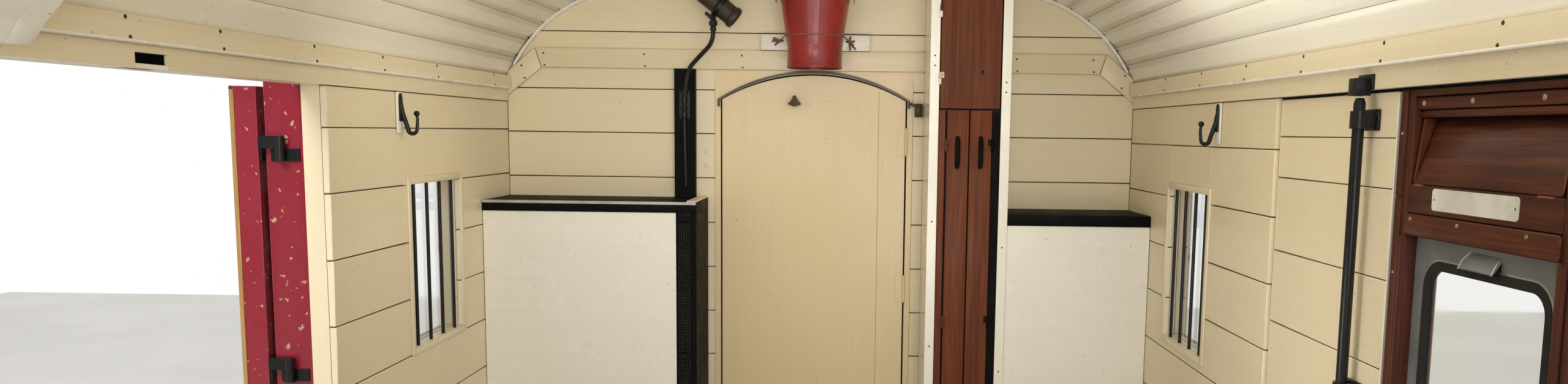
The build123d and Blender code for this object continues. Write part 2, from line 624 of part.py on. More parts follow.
def corner_gear():
    """The black post, the slanting tube from the roof, its clamp and its hose."""
    wall_y = END_Y
    post_low = LEFT_LOCKER_H
    post_piece = block((POST_X0, POST_X1), (wall_y - POST_T, wall_y), up(post_low, END_CORNICE_LOW))
    save("corner_post", post_piece)
    tube_y = wall_y - TUBE_FROM_END
    end_x = TUBE_END_X
    end_z = CROWN_Z + CROWN_R - TUBE_END_UNDER
    run_x = -cos(radians(TUBE_SLOPE))
    run_z = sin(radians(TUBE_SLOPE))
    axis = Plane(origin=(end_x, tube_y, end_z), z_dir=(run_x, 0, run_z))
    tube = extrude(axis * Circle(TUBE_R), TUBE_LENGTH)
    save("roof_tube", tube & inside_room(OPEN_Y, END_Y))
    clamp_at = 70
    ring = extrude(axis * (Circle(TUBE_R + 7) - Circle(TUBE_R)), 22)
    ring = Pos(run_x * clamp_at, 0, run_z * clamp_at) * ring
    below_x = end_x + run_x * (clamp_at + 11) - (TUBE_R + 5) * run_z
    below_z = end_z + run_z * (clamp_at + 11) + (TUBE_R + 5) * run_x
    drop = post(11, below_x, tube_y, (below_z - 62, below_z + 4))
    joint = Cylinder(18, 34)
    joint = Pos(below_x, tube_y, below_z - 34) * chamfer(joint.edges().filter_by(GeomType.CIRCLE), 7)
    clamp = ring + (drop + joint - tube)
    start_z = below_z - 62
    hose_y = wall_y - POST_T - HOSE_R - SEAT
    post_mid = (POST_X0 + POST_X1) / 2
    end_low = start_z - HOSE_DROP
    route = [
        (below_x, tube_y, start_z),
        (below_x, tube_y, start_z - 45),
        (below_x - 60, tube_y + 50, start_z - 95),
        (post_mid, hose_y, start_z - 165),
        (post_mid, hose_y, end_low),
    ]
    path = FilletPolyline(*route, radius=35)
    start = Plane(origin=route[0], z_dir=(0, 0, -1))
    save("corner_hose", sweep(start * Circle(HOSE_R), path))
    clip = block((post_mid - 22, post_mid + 22), (hose_y - HOSE_R - 4, wall_y - POST_T - SEAT),
                 (end_low - 100, end_low))
    save("hose_fittings", clamp, clip)


def fittings():
    """Coat hooks, the holdback catch, the shoulder casing and the bolt's keeper."""
    y = END_Y - HOOK_FROM_END
    face = INNER_HALF
    bar = block((face - 10, face), (y - 11, y + 11), up(HOOK_LOW, HOOK_HIGH))
    bend = HOOK_REACH / 2 - 3
    low = FLOOR_TOP + HOOK_LOW
    root_x = face - HOOK_R - 1
    tip_x = root_x - 2 * bend
    start = (root_x, y, low + 8)
    arc = ThreePointArc(start, (root_x - bend, y, low + 8 - bend), (tip_x, y, low + 8))
    rise = Line((tip_x, y, low + 8), (tip_x, y, low + 48))
    path = Wire([arc, rise])
    crook = sweep(Plane(origin=start, z_dir=(0, 0, -1)) * RegularPolygon(HOOK_R, 8), path)
    knob = Cylinder(8, 16)
    knob = chamfer(knob.edges().filter_by(GeomType.CIRCLE), 3)
    knob = Pos(tip_x, y, low + 52) * knob
    save("coat_hooks", *both_sides(bar + crook + knob).children)
    catch = block((390, 428), (END_Y - 26, END_Y), up(1712, 1768))
    catch -= block((380, 412), (END_Y - 18, END_Y), up(1722, 1758))
    outline = [(inward - INNER_HALF, FLOOR_TOP + DOORWAY_H + rise) for inward, rise in CASING_PROFILE]
    casing = make_face(Polyline(*outline, outline[0]))
    room = inside_room(OPEN_Y, END_Y, -SEAT)
    save("shoulder_casing", along_y(casing, OPEN_Y, OPEN_Y + CASING_LENGTH) & room)
    bolt_y = FAR_JAMB_Y - LEAF_GAP - BOARDED_W + BOLT_FROM_EDGE
    keeper = block((BOLT_X - BOLT_R - 5, INNER_HALF - RAIL_T), (bolt_y - 24, bolt_y + 24),
                   up(DOORWAY_H - KEEPER_DROP, DOORWAY_H + 26))
    keeper -= block((BOLT_X - BOLT_R - 1, INNER_HALF - RAIL_T), (bolt_y - BOLT_R - 1, bolt_y + BOLT_R + 1),
                    up(DOORWAY_H - KEEPER_DROP, DOORWAY_H + 20))
    save("catch_and_keeper", catch, keeper)


def hinge_pair(height):
    """One side door hinge: the post's half below and the leaf's half above."""
    pin = (PIN_X, FAR_JAMB_Y)
    low, mid, high = up(height - 35, height, height + 35)
    plate_y = pin[1] + POST_OFF
    plate = block((OUTER_HALF + 8, PIN_X + 30), (plate_y - 6, plate_y), (low, mid))
    arm = block((PIN_X - 8, PIN_X + 4), (pin[1], plate_y), (low, mid))
    fixed = plate + arm + post(KNUCKLE_R, *pin, (low, mid))
    leaf_plate = block((OUTER_HALF, OUTER_HALF + 6), (pin[1] - 98, pin[1] - 8), (low, high))
    upper = (mid + KNUCKLE_GAP, high)
    leaf_arm = block((OUTER_HALF, PIN_X), (pin[1] - 9, pin[1]), upper)
    return fixed, leaf_plate + leaf_arm + post(KNUCKLE_R, *pin, upper)


def boarded_leaf():
    """The right doorway's boarded leaf, closed, with its bolt on the inside."""
    edge = FAR_JAMB_Y - LEAF_GAP
    inner = OUTER_HALF - LEAF_T
    foot = SILL_H + LEAF_GAP
    top = FLOOR_TOP + DOORWAY_H - LEAF_GAP
    plan = make_face(Polyline(
        (inner, edge), (OUTER_HALF, edge), (OUTER_HALF, edge - BOARDED_W),
        (inner, edge - BOARDED_W + MEETING_BEVEL), (inner, edge),
    ))
    leaf = Pos(0, 0, foot) * extrude(plan, top - foot)
    for height in (1650, 1538, 1335, 1134, 933, 732, 531, 330, 129):
        leaf -= block((inner, inner + GROOVE_D), (edge - BOARDED_W, edge),
                      up(height - GROOVE_W / 2, height + GROOVE_W / 2))
    return leaf


def leaf_bolt():
    """The long upright bolt in its brackets, drawn just clear of its keeper."""
    face = OUTER_HALF - LEAF_T
    x = BOLT_X
    y = FAR_JAMB_Y - LEAF_GAP - BOARDED_W + BOLT_FROM_EDGE
    rod = post(BOLT_R, x, y, up(BOLT_LOW, DOORWAY_H - KEEPER_DROP - 4))
    for height in BOLT_BRACKETS:
        rod += block((x - BOLT_R - 5, face), (y - 24, y + 24), up(height - 22, height + 22))
    return rod


def droplight_leaf():
    """The right doorway's leaf with a drop light, closed: frame, sash and pane."""
    edge = NEAR_JAMB_Y + LEAF_GAP
    inner = OUTER_HALF - LEAF_T
    foot = SILL_H + LEAF_GAP
    top = FLOOR_TOP + DOORWAY_H - LEAF_GAP
    plan = make_face(Polyline(
        (inner, edge), (OUTER_HALF, edge), (OUTER_HALF, edge + DROPLIGHT_W),
        (inner, edge + DROPLIGHT_W - MEETING_BEVEL), (inner, edge),
    ))
    leaf = Pos(0, 0, foot) * extrude(plan, top - foot)
    light_z = up(DOORWAY_H - LIGHT_LOW, DOORWAY_H - LIGHT_HIGH)
    light_y = (edge + LIGHT_STILE, edge + DROPLIGHT_W - LIGHT_STILE)
    leaf -= block((inner - 1, OUTER_HALF + 1), light_y, light_z)
    hood_low, hood_high = up(DOORWAY_H - HOOD_LOW, DOORWAY_H - HOOD_HIGH)
    hood = make_face(Polyline(
        (inner, hood_low), (inner + 42, hood_high), (inner, hood_high), (inner, hood_low),
    ))
    leaf -= along_y(hood, light_y[0], light_y[1])
    sash_x = (inner + 25, inner + 37)
    sash = block(sash_x, light_y, light_z)
    mid_y = (light_y[0] + light_y[1]) / 2
    pane_w = light_y[1] - light_y[0] - 2 * PANE_MARGIN
    pane_z = (light_z[0] + 50, light_z[1] - 60)
    light = Plane.YZ * RectangleRounded(pane_w, pane_z[1] - pane_z[0], PANE_CORNER_R)
    window = Pos(sash_x[0] - 10, mid_y, sum(pane_z) / 2) * extrude(light, 40)
    pane = Pos(sash_x[0] + 3, mid_y, sum(pane_z) / 2) * extrude(light, PANE_T)
    return leaf, sash - window, pane


def side_doors():
    """Both doorways: closed on the right, folded back along the outside on the left."""
    fixed_far = []
    moving_far = []
    for height in HINGE_HEIGHTS:
        fixed, moving = hinge_pair(height)
        fixed_far.append(fixed)
        moving_far.append(moving)
    across = Plane(origin=(0, DOORWAY_MID_Y, 0), z_dir=(0, 1, 0))
    fixed_near = [mirror(piece, about=across) for piece in fixed_far]
    moving_near = [mirror(piece, about=across) for piece in moving_far]
    hinge_post = block((OUTER_HALF, PIN_X + PIN_PROUD - HINGE_POST_CLEAR),
                       (FAR_JAMB_Y + POST_OFF, FAR_JAMB_Y + POST_OFF + HINGE_POST_W),
                       up(-FLOOR_T, DOORWAY_H + 30))
    posts = [hinge_post, mirror(hinge_post, about=across)]
    save("hinge_posts", *posts, *[half_turn(piece) for piece in posts])
    fixed = fixed_far + fixed_near
    save("hinge_brackets", *fixed, *[half_turn(piece) for piece in fixed])
    leaf, sash, pane = droplight_leaf()
    # node, right-hand piece, hinge y on the right, opening turn on the right
    pieces = (
        ("boarded_leaf", [boarded_leaf()], FAR_JAMB_Y, 1),
        ("boarded_leaf_bolt", [leaf_bolt()], FAR_JAMB_Y, 1),
        ("boarded_leaf_hinges", moving_far, FAR_JAMB_Y, 1),
        ("droplight_leaf", [leaf], NEAR_JAMB_Y, -1),
        ("droplight_sash", [sash], NEAR_JAMB_Y, -1),
        ("droplight_pane", [pane], NEAR_JAMB_Y, -1),
        ("droplight_leaf_hinges", moving_near, NEAR_JAMB_Y, -1),
    )
    for name, solids, hinge_y, turn in pieces:
        save("right_" + name, *solids)
        opened = [turned_about(solid, PIN_X, hinge_y, turn * LEAF_OPEN_DEG) for solid in solids]
        save("left_" + name, *[half_turn(solid) for solid in opened])


os.makedirs("parts", exist_ok=True)
floor_frame()
floor_boards()
side_walls()
cantrails()
roof()
end_wall()
end_door()
cornices()
cupboard()
lockers()
bucket()
corner_gear()
fittings()
side_doors()
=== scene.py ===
import math
import random

import bmesh
import bpy
from mathutils import Matrix, Vector


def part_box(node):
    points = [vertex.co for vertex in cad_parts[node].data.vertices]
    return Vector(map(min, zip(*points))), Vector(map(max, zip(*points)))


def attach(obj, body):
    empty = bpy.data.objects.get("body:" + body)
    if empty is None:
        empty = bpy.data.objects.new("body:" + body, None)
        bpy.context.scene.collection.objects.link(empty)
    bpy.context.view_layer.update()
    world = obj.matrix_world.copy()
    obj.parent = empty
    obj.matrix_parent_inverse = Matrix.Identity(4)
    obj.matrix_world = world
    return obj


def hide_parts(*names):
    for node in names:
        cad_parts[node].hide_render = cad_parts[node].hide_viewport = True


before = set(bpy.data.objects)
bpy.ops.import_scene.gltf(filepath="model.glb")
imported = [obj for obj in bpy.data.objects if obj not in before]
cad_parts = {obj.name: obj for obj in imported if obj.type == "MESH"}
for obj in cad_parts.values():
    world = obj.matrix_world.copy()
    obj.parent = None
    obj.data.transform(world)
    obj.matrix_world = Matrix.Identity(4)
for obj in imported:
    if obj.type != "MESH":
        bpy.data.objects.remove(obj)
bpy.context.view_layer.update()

# %% [markdown]
# # The luggage end of an old railway coach
# The solids of this coach end are already made and loaded above, in metres, with +Y running
# along the coach towards its end wall. This lesson dresses them: boards with eased edges in
# place of flat walls, brushed gloss paint, varnished mahogany, screws, hooks and ironwork.
# A solid whose form is right keeps its mesh and only gets a finish. Where the real thing has
# more to show, a new piece replaces it, rides on the same body and stays in the same place.

# %% The coach's main sizes
FLOOR = 0.2
WALL = 1.32
OUTSIDE = 1.40
OPEN_Y = -1.85
END_Y = 1.85
BACK_Y = 1.94
LINTEL = FLOOR + 1.758
FAR_JAMB = 0.238
NEAR_JAMB = -1.096
middle_y = (FAR_JAMB + NEAR_JAMB) / 2
PIN_X = 1.458
LEAF_OPEN = math.radians(175)
MAIN_BODY = "coach_body"
chance = random.Random(7)
print("doorway from", NEAR_JAMB, "to", FAR_JAMB)

# %% [markdown]
# ## The camera
# The photograph was taken from beyond the open end, at eye level. Its principal point lies a
# little right of the picture's middle, so the lens is shifted sideways by a few percent. Its
# uprights lean apart upwards, so the camera looked down and the picture is the top part of a
# taller one. The lens is shifted up by no more than that framing needs.

# %% The camera
PICTURE_W = 2560
FOCAL_PIXELS = 1806
SENSOR = 36
lens = bpy.data.cameras.new("camera")
lens.sensor_fit = "HORIZONTAL"
lens.sensor_width = SENSOR
lens.lens = FOCAL_PIXELS / PICTURE_W * SENSOR
lens.shift_x = -0.0447
lens.shift_y = 0.045
camera = bpy.data.objects.new("camera", lens)
bpy.context.scene.collection.objects.link(camera)
LOOK_DOWN, LEAN = 6.744, 0.767
tilt = Matrix.Rotation(math.radians(90 - LOOK_DOWN), 4, "X") @ Matrix.Rotation(math.radians(LEAN), 4, "Z")
camera.matrix_world = Matrix.Translation((0.151, -2.865, 1.848)) @ tilt
bpy.context.scene.camera = camera
print("focal length", round(lens.lens, 2), "mm")

# %% [markdown]
# ## Lamps
# One broad soft lamp stands behind the camera, as the open side of a shed would light the
# coach. Two more lie outside, beside and above the left doorway, and give the daylight that
# falls through it. Three weak ones inside stand for the light that walls and floor throw back,
# and a sun straight overhead, with very soft shadows, lights the outside.

# %% Lamps
bpy.context.scene.view_settings.view_transform = "Standard"


def lamp(name, place, target, width, height, watts, tint=(1.0, 1.0, 1.0)):
    """A soft rectangular lamp that looks at a target and isn't seen itself."""
    data = bpy.data.lights.new(name, "AREA")
    data.shape = "RECTANGLE"
    data.size = width
    data.size_y = height
    data.energy = watts
    data.color = tint
    made = bpy.data.objects.new(name, data)
    bpy.context.scene.collection.objects.link(made)
    aim = Vector(target) - Vector(place)
    made.location = place
    made.rotation_euler = aim.to_track_quat("-Z", "Y").to_euler()
    made.visible_camera = False
    return made


lamp("front_light", (0.9, -5.2, 2.4), (-0.3, 1.2, 1.7), 2.6, 1.8, 90, (1.0, 0.98, 0.96))
lamp("doorway_light", (-3.2, -0.4, 1.5), (1.0, 0.3, 2.0), 2.2, 2.0, 6, (0.98, 0.99, 1.0))
lamp("yard_light", (-2.1, -1.9, 3.6), (-1.5, -0.2, 1.5), 1.0, 1.0, 70, (1.0, 0.99, 0.97))
lamp("wall_fill", (-0.4, 0.3, 1.95), (-0.9, 1.85, 2.2), 0.6, 0.6, 3.0, (1.0, 0.98, 0.95))
lamp("ceiling_glow", (0.62, -0.4, 1.97), (0.62, -0.4, 3.0), 0.7, 2.2, 12, (1.0, 0.98, 0.95))
lamp("locker_fill", (0.5, -0.5, 1.25), (1.0, 1.49, 1.2), 0.5, 0.5, 5.0, (1.0, 0.98, 0.95))
noon = bpy.data.lights.new("noon", "SUN")
noon.energy = 1.7
noon.angle = math.radians(30)
noon_lamp = bpy.data.objects.new("noon", noon)
bpy.context.scene.collection.objects.link(noon_lamp)
print(len(bpy.data.lights), "lamps")

# %% [markdown]
# ## The world
# The world is pale and even. It gives the paint a weak light of its own, and shows as plain
# white behind the coach and through its glass. Two backgrounds do that: a soft one for all that
# the world lights, and a white one that is mixed in for rays from the camera or through glass.

# %% The world
world = bpy.data.worlds.new("studio")
bpy.context.scene.world = world
world.use_nodes = True
sky = world.node_tree
sky.nodes.clear()
rays = sky.nodes.new("ShaderNodeLightPath")
soft = sky.nodes.new("ShaderNodeBackground")
soft.inputs["Color"].default_value = (1.0, 0.985, 0.96, 1.0)
soft.inputs["Strength"].default_value = 0.30
white = sky.nodes.new("ShaderNodeBackground")
white.inputs["Color"].default_value = (1.0, 1.0, 1.0, 1.0)
white.inputs["Strength"].default_value = 1.0
seen = sky.nodes.new("ShaderNodeMath")
seen.operation = "MAXIMUM"
either = sky.nodes.new("ShaderNodeMixShader")
out = sky.nodes.new("ShaderNodeOutputWorld")
sky.links.new(rays.outputs["Is Camera Ray"], seen.inputs[0])
sky.links.new(rays.outputs["Is Transmission Ray"], seen.inputs[1])
sky.links.new(seen.outputs[0], either.inputs[0])
sky.links.new(soft.outputs[0], either.inputs[1])
sky.links.new(white.outputs[0], either.inputs[2])
sky.links.new(either.outputs[0], out.inputs["Surface"])
print("world of", len(sky.nodes), "nodes")

# %% [markdown]
# ## Finishes, node by node
# Old coach paint is never one flat colour. It was brushed on by hand, board by board, and it
# has dirt in its joints, a soft shine, and chips on its edges; the dark in its joints is painted
# shade as well as dirt. A small helper class keeps each material short: it wraps the nodes that
# this coach needs, all driven by object coordinates, which here are the coach's own metres.

# %% A helper for finishes


def tint(red, green, blue):
    """A colour written in steps from 0 to 255, turned into the values that a shader wants."""
    def linear(step):
        share = step / 255
        return share / 12.92 if share <= 0.04045 else ((share + 0.055) / 1.055) ** 2.4
    return (linear(red), linear(green), linear(blue), 1.0)


def deeper(colour, share):
    """A colour made darker or lighter by a share."""
    return tuple(min(1.0, part * share) for part in colour[:3]) + (1.0,)


class Finish:
    """One material, with short names for the nodes that old paint, wood and iron need."""

    def __init__(self, name, roughness=0.5, metallic=0.0, coat=0.0, coat_roughness=0.1):
        self.material = bpy.data.materials.new(name)
        self.material.use_nodes = True
        self.tree = self.material.node_tree
        self.shader = self.tree.nodes["Principled BSDF"]
        self.shader.inputs["Roughness"].default_value = roughness
        self.shader.inputs["Metallic"].default_value = metallic
        self.shader.inputs["Coat Weight"].default_value = coat
        self.shader.inputs["Coat Roughness"].default_value = coat_roughness
        self.place = self.add("ShaderNodeTexCoord").outputs["Object"]

    def add(self, kind, **settings):
        """A new node with its settings."""
        node = self.tree.nodes.new(kind)
        for key, value in settings.items():
            setattr(node, key, value)
        return node

    def feed(self, socket, value):
        """Links another node's output to a socket, or writes a plain value there."""
        if hasattr(value, "is_output"):
            self.tree.links.new(value, socket)
        else:
            socket.default_value = value

    def noise(self, scale, detail=3.0, stretch=(1, 1, 1), shift=0.0, warp=0.0):
        """Soft noise from 0 to 1, stretched along the axes and shifted so that two don't agree."""
        spread = self.add("ShaderNodeMapping")
        spread.inputs["Scale"].default_value = stretch
        spread.inputs["Location"].default_value = (shift, shift * 0.7, -shift)
        self.feed(spread.inputs["Vector"], self.place)
        cloud = self.add("ShaderNodeTexNoise")
        cloud.inputs["Scale"].default_value = scale
        cloud.inputs["Detail"].default_value = detail
        cloud.inputs["Distortion"].default_value = warp
        self.feed(cloud.inputs["Vector"], spread.outputs[0])
        return cloud.outputs["Fac"]

    def ramp(self, value, *stops):
        """Colours or greys for a value, from (position, colour) stops."""
        scale = self.add("ShaderNodeValToRGB")
        stripes = scale.color_ramp.elements
        while len(stripes) < len(stops):
            stripes.new(0.5)
        for stripe, (position, colour) in zip(stripes, stops):
            stripe.position = position
            stripe.color = colour if hasattr(colour, "__len__") else (colour, colour, colour, 1.0)
        self.feed(scale.inputs["Fac"], value)
        return scale.outputs["Color"]

    def mix(self, share, first, second):
        """The first colour, with a share of the second over it."""
        node = self.add("ShaderNodeMix", data_type="RGBA")
        self.feed(node.inputs[0], share)
        self.feed(node.inputs[6], first)
        self.feed(node.inputs[7], second)
        return node.outputs[2]

    def sum(self, kind, first, second):
        """One step of arithmetic between two values."""
        node = self.add("ShaderNodeMath", operation=kind)
        self.feed(node.inputs[0], first)
        self.feed(node.inputs[1], second)
        return node.outputs[0]

    def part(self, axis):
        """One of the place's coordinates: 0, 1 or 2."""
        split = self.add("ShaderNodeSeparateXYZ")
        self.feed(split.inputs[0], self.place)
        return split.outputs[axis]

    def each_board(self):
        """A different value from 0 to 1 for each separate board of a piece."""
        return self.add("ShaderNodeNewGeometry").outputs["Random Per Island"]

    def crevice(self, reach):
        """1 in the open, falling to 0 deep in a joint or a corner."""
        shade = self.add("ShaderNodeAmbientOcclusion", samples=5)
        shade.inputs["Distance"].default_value = reach
        return shade.outputs["AO"]

    def edges(self, radius):
        """1 on an edge, falling to 0 on a flat: where wear shows first."""
        rounded = self.add("ShaderNodeBevel", samples=4)
        rounded.inputs["Radius"].default_value = radius
        plain = self.add("ShaderNodeNewGeometry").outputs["Normal"]
        turn = self.add("ShaderNodeVectorMath", operation="DOT_PRODUCT")
        self.feed(turn.inputs[0], rounded.outputs[0])
        self.feed(turn.inputs[1], plain)
        return self.sum("SUBTRACT", 1.0, turn.outputs["Value"])

    def relief(self, depth, height, radius=0.0):
        """Small bumps, over edges that look rounded by a radius."""
        bump = self.add("ShaderNodeBump")
        bump.inputs["Distance"].default_value = depth
        self.feed(bump.inputs["Height"], height)
        if radius:
            rounded = self.add("ShaderNodeBevel", samples=4)
            rounded.inputs["Radius"].default_value = radius
            self.feed(bump.inputs["Normal"], rounded.outputs[0])
        self.feed(self.shader.inputs["Normal"], bump.outputs[0])

    def colour(self, value):
        self.feed(self.shader.inputs["Base Color"], value)

    def rough(self, value):
        self.feed(self.shader.inputs["Roughness"], value)


print("mid grey is", round(tint(128, 128, 128)[0], 3), "to a shader")

# %% [markdown]
# ### Brushed paint
# Brush marks run along a board, so their noise is stretched along that axis. Each board takes
# the paint a little differently. An ambient occlusion node finds joints and corners, and the paint
# is darkened there towards a grime colour: painted shade as well as grime. A bevel node finds the
# edges where paint wears through.

# %% Brushed paint
BRUSH_DEPTH = 0.0004
EASED = 0.0015


def painted(name, base, run, grime_and_shade=(104, 88, 60), chips=None, shine=0.34, wear=0.0, even=1.0, seam=0.010):
    """Hand-brushed oil paint on boards that run along one axis."""
    finish = Finish(name, coat=0.12, coat_roughness=0.18)
    across = [70.0, 70.0, 70.0]
    across[run] = 2.2
    marks = finish.noise(1.0, 3.0, across)
    clouds = finish.noise(1.7, 4.0, shift=3.1)
    board = finish.each_board()
    tone = finish.ramp(clouds, (0.25, deeper(base, 1 - 0.06 * even)), (0.75, deeper(base, 1 + 0.03 * even)))
    by_board = finish.ramp(board, (0.0, deeper(base, 1 - 0.07 * even)), (1.0, deeper(base, 1 + 0.04 * even)))
    tone = finish.mix(0.5, tone, by_board)
    tone = finish.mix(finish.ramp(marks, (0.35, 0.0), (0.75, 0.22)), tone, deeper(base, 0.86))
    # Painted shade: joints and corners found by ambient occlusion are darkened towards the grime colour, which
    # stands for dirt there as well.
    joints = finish.ramp(finish.crevice(seam), (0.25, 0.80), (0.60, 0.0))
    tone = finish.mix(joints, tone, tint(*grime_and_shade))
    specks = finish.noise(95.0, 2.0, shift=9.0)
    tone = finish.mix(finish.ramp(specks, (0.735, 0.0), (0.76, 0.55)), tone, tint(*grime_and_shade))
    if chips:
        worn = finish.sum("MULTIPLY", finish.edges(0.004), finish.noise(38.0, 5.0, shift=1.3))
        flaked = finish.noise(46.0, 8.0, shift=5.5, warp=0.2)
        worn = finish.sum("ADD", worn, finish.ramp(flaked, (0.70 - wear, 0.0), (0.72 - wear, 1.0)))
        tone = finish.mix(finish.ramp(worn, (0.10, 0.0), (0.16, 1.0)), tone, tint(*chips))
    finish.colour(tone)
    finish.rough(finish.ramp(finish.noise(6.0, 4.0, shift=2.0), (0.3, shine), (0.7, shine + 0.14)))
    waves = finish.mix(0.5, marks, finish.noise(14.0, 2.0, shift=4.0))
    finish.relief(BRUSH_DEPTH, waves, EASED)
    return finish.material


CREAM = tint(240, 226, 192)
OFF_WHITE = tint(247, 242, 226)
CRIMSON = tint(140, 26, 44)
cream_across = painted("cream_paint_across", CREAM, 0)
cream_along = painted("cream_paint_along", CREAM, 1)
cream_upright = painted("cream_paint_upright", deeper(CREAM, 0.97), 2, shine=0.3)
door_paint = painted("door_paint", tint(236, 214, 170), 2, shine=0.3, even=0.6)
ceiling_paint = painted("ceiling_paint", OFF_WHITE, 1, shine=0.26, even=0.5, seam=0.003)
white_upright = painted("white_gloss_upright", tint(250, 247, 234), 2, shine=0.16, even=0.4)
white_along = painted("white_gloss_along", tint(248, 244, 232), 1, shine=0.2, even=0.4)
white_across = painted("white_gloss_across", tint(248, 245, 234), 0, shine=0.2, even=0.4)
crimson_boards = painted("crimson_gloss", CRIMSON, 2, grime_and_shade=(48, 14, 18), shine=0.16)
crimson_worn = painted("crimson_flaking", CRIMSON, 2, (60, 24, 20), (188, 152, 120), 0.3, wear=0.045)
olive_bead = painted("olive_brown_paint", tint(66, 56, 34), 0, grime_and_shade=(30, 24, 16))
print(len(bpy.data.materials), "painted finishes")

# %% [markdown]
# ### One solid, two colours
# The cantrails over the side walls are single solids that show cream inside and crimson
# outside. Their finish asks how far a point lies from the coach's middle and picks the colour
# by that, which needs no seam in the mesh.

# %% One solid, two colours
both_sides = Finish("cantrail_paint", 0.34, coat=0.12, coat_roughness=0.18)
reach = both_sides.sum("ABSOLUTE", both_sides.part(0), 0.0)
outward = both_sides.ramp(both_sides.sum("GREATER_THAN", reach, OUTSIDE - 0.006), (0.0, 0.0), (1.0, 1.0))
streaks = both_sides.noise(1.0, 3.0, (70, 2.2, 70))
inner_paint = both_sides.ramp(streaks, (0.35, CREAM), (0.75, deeper(CREAM, 0.92)))
outer_paint = both_sides.ramp(streaks, (0.35, CRIMSON), (0.75, deeper(CRIMSON, 0.85)))
both_sides.colour(both_sides.mix(outward, inner_paint, outer_paint))
both_sides.relief(BRUSH_DEPTH, streaks, EASED)
cantrail_paint = both_sides.material
print("cantrails are crimson beyond", round(OUTSIDE - 0.006, 3))

# %% [markdown]
# ### Mahogany
# The drop light doors and the cupboard are mahogany, the doors with varnish on it. Its figure
# is noise pulled far out along the grain, warped a little, with finer pores over it, and a
# clear coat on top for the varnish. Floor, sills and bearers are plain worn timber.

# %% Mahogany and plain timber


def timber(name, run, dark, mid, light, varnish=0.0, roughness=0.45, pores=0.0006):
    """Planed wood whose grain runs along one axis."""
    finish = Finish(name, roughness, coat=varnish, coat_roughness=0.2)
    finish.shader.inputs["Specular IOR Level"].default_value = 0.16
    along = [26.0, 26.0, 26.0]
    along[run] = 1.1
    figure = finish.noise(1.0, 5.0, along, warp=1.2)
    fine = [190.0, 190.0, 190.0]
    fine[run] = 6.0
    lines = finish.noise(1.0, 3.0, fine, shift=2.0)
    tone = finish.ramp(figure, (0.30, tint(*dark)), (0.52, tint(*mid)), (0.74, tint(*light)))
    tone = finish.mix(finish.ramp(lines, (0.42, 0.55), (0.62, 0.0)), tone, tint(*dark))
    board = finish.each_board()
    tone = finish.mix(finish.ramp(board, (0.0, 0.34), (1.0, 0.0)), tone, tint(*dark))
    # Painted shade: joints and corners found by ambient occlusion are darkened to near black.
    tone = finish.mix(finish.ramp(finish.crevice(0.015), (0.25, 0.7), (0.7, 0.0)), tone, tint(20, 12, 9))
    finish.colour(tone)
    sheen = finish.noise(5.0, 3.0, shift=4.0)
    finish.rough(finish.ramp(sheen, (0.3, roughness - 0.08), (0.7, roughness + 0.12)))
    finish.relief(pores, lines, EASED)
    return finish.material


RED_WOOD = ((62, 29, 18), (96, 47, 30), (122, 68, 43))
mahogany_upright = timber("mahogany_upright", 2, *RED_WOOD, varnish=0.14, roughness=0.44)
mahogany_along = timber("mahogany_along", 1, *RED_WOOD, varnish=0.14, roughness=0.44)
door_wood = timber("cupboard_mahogany", 2, (92, 48, 30), (120, 66, 41), (138, 81, 53), 0.0, 0.5)
seam_wood = timber("pale_seam", 2, (136, 84, 56), (162, 104, 70), (178, 118, 82), 0.0, 0.5)
floor_wood = timber("worn_floor", 1, (66, 54, 42), (116, 98, 78), (148, 130, 106), 0.0, 0.72, 0.002)
sill_wood = timber("sill_timber", 1, (24, 21, 19), (42, 37, 33), (58, 50, 44), 0.0, 0.7, 0.002)
bearer_wood = timber("bearer_timber", 0, (40, 32, 26), (66, 54, 44), (88, 74, 60), 0.0, 0.8, 0.002)
raw_edge = timber("bare_oak_edge", 2, (150, 112, 66), (186, 146, 92), (206, 172, 118), 0.0, 0.6, 0.001)
print(len(bpy.data.materials), "finishes so far")

# %% [markdown]
# ### Iron and other metal
# The ironwork is gloss black over rough castings, the drop light's sash is dull aluminium, and
# the bucket is scuffed red enamel. One helper makes them all: a slightly cloudy colour, edges
# rubbed down to another colour, and a lumpy skin.

# %% Iron and other metal


def metalwork(name, base, chips, roughness=0.3, metallic=0.0, coat=0.0, lumps=0.0006, worn=0.12, glint=0.5):
    """Painted or bare metal with a cast skin, dust and rubbed edges."""
    finish = Finish(name, roughness, metallic, coat, 0.15)
    finish.shader.inputs["Specular IOR Level"].default_value = glint
    clouds = finish.noise(7.0, 5.0)
    tone = finish.ramp(clouds, (0.3, deeper(base, 0.72)), (0.7, deeper(base, 1.25)))
    rubbed = finish.sum("MULTIPLY", finish.edges(0.003), finish.noise(60.0, 4.0, shift=6.0))
    tone = finish.mix(finish.ramp(rubbed, (worn, 0.0), (worn + 0.12, 0.8)), tone, chips)
    finish.colour(tone)
    finish.rough(finish.ramp(finish.noise(22.0, 4.0, shift=1.0), (0.3, roughness), (0.75, roughness + 0.2)))
    finish.relief(lumps, finish.noise(120.0, 3.0, shift=8.0), 0.001)
    return finish.material


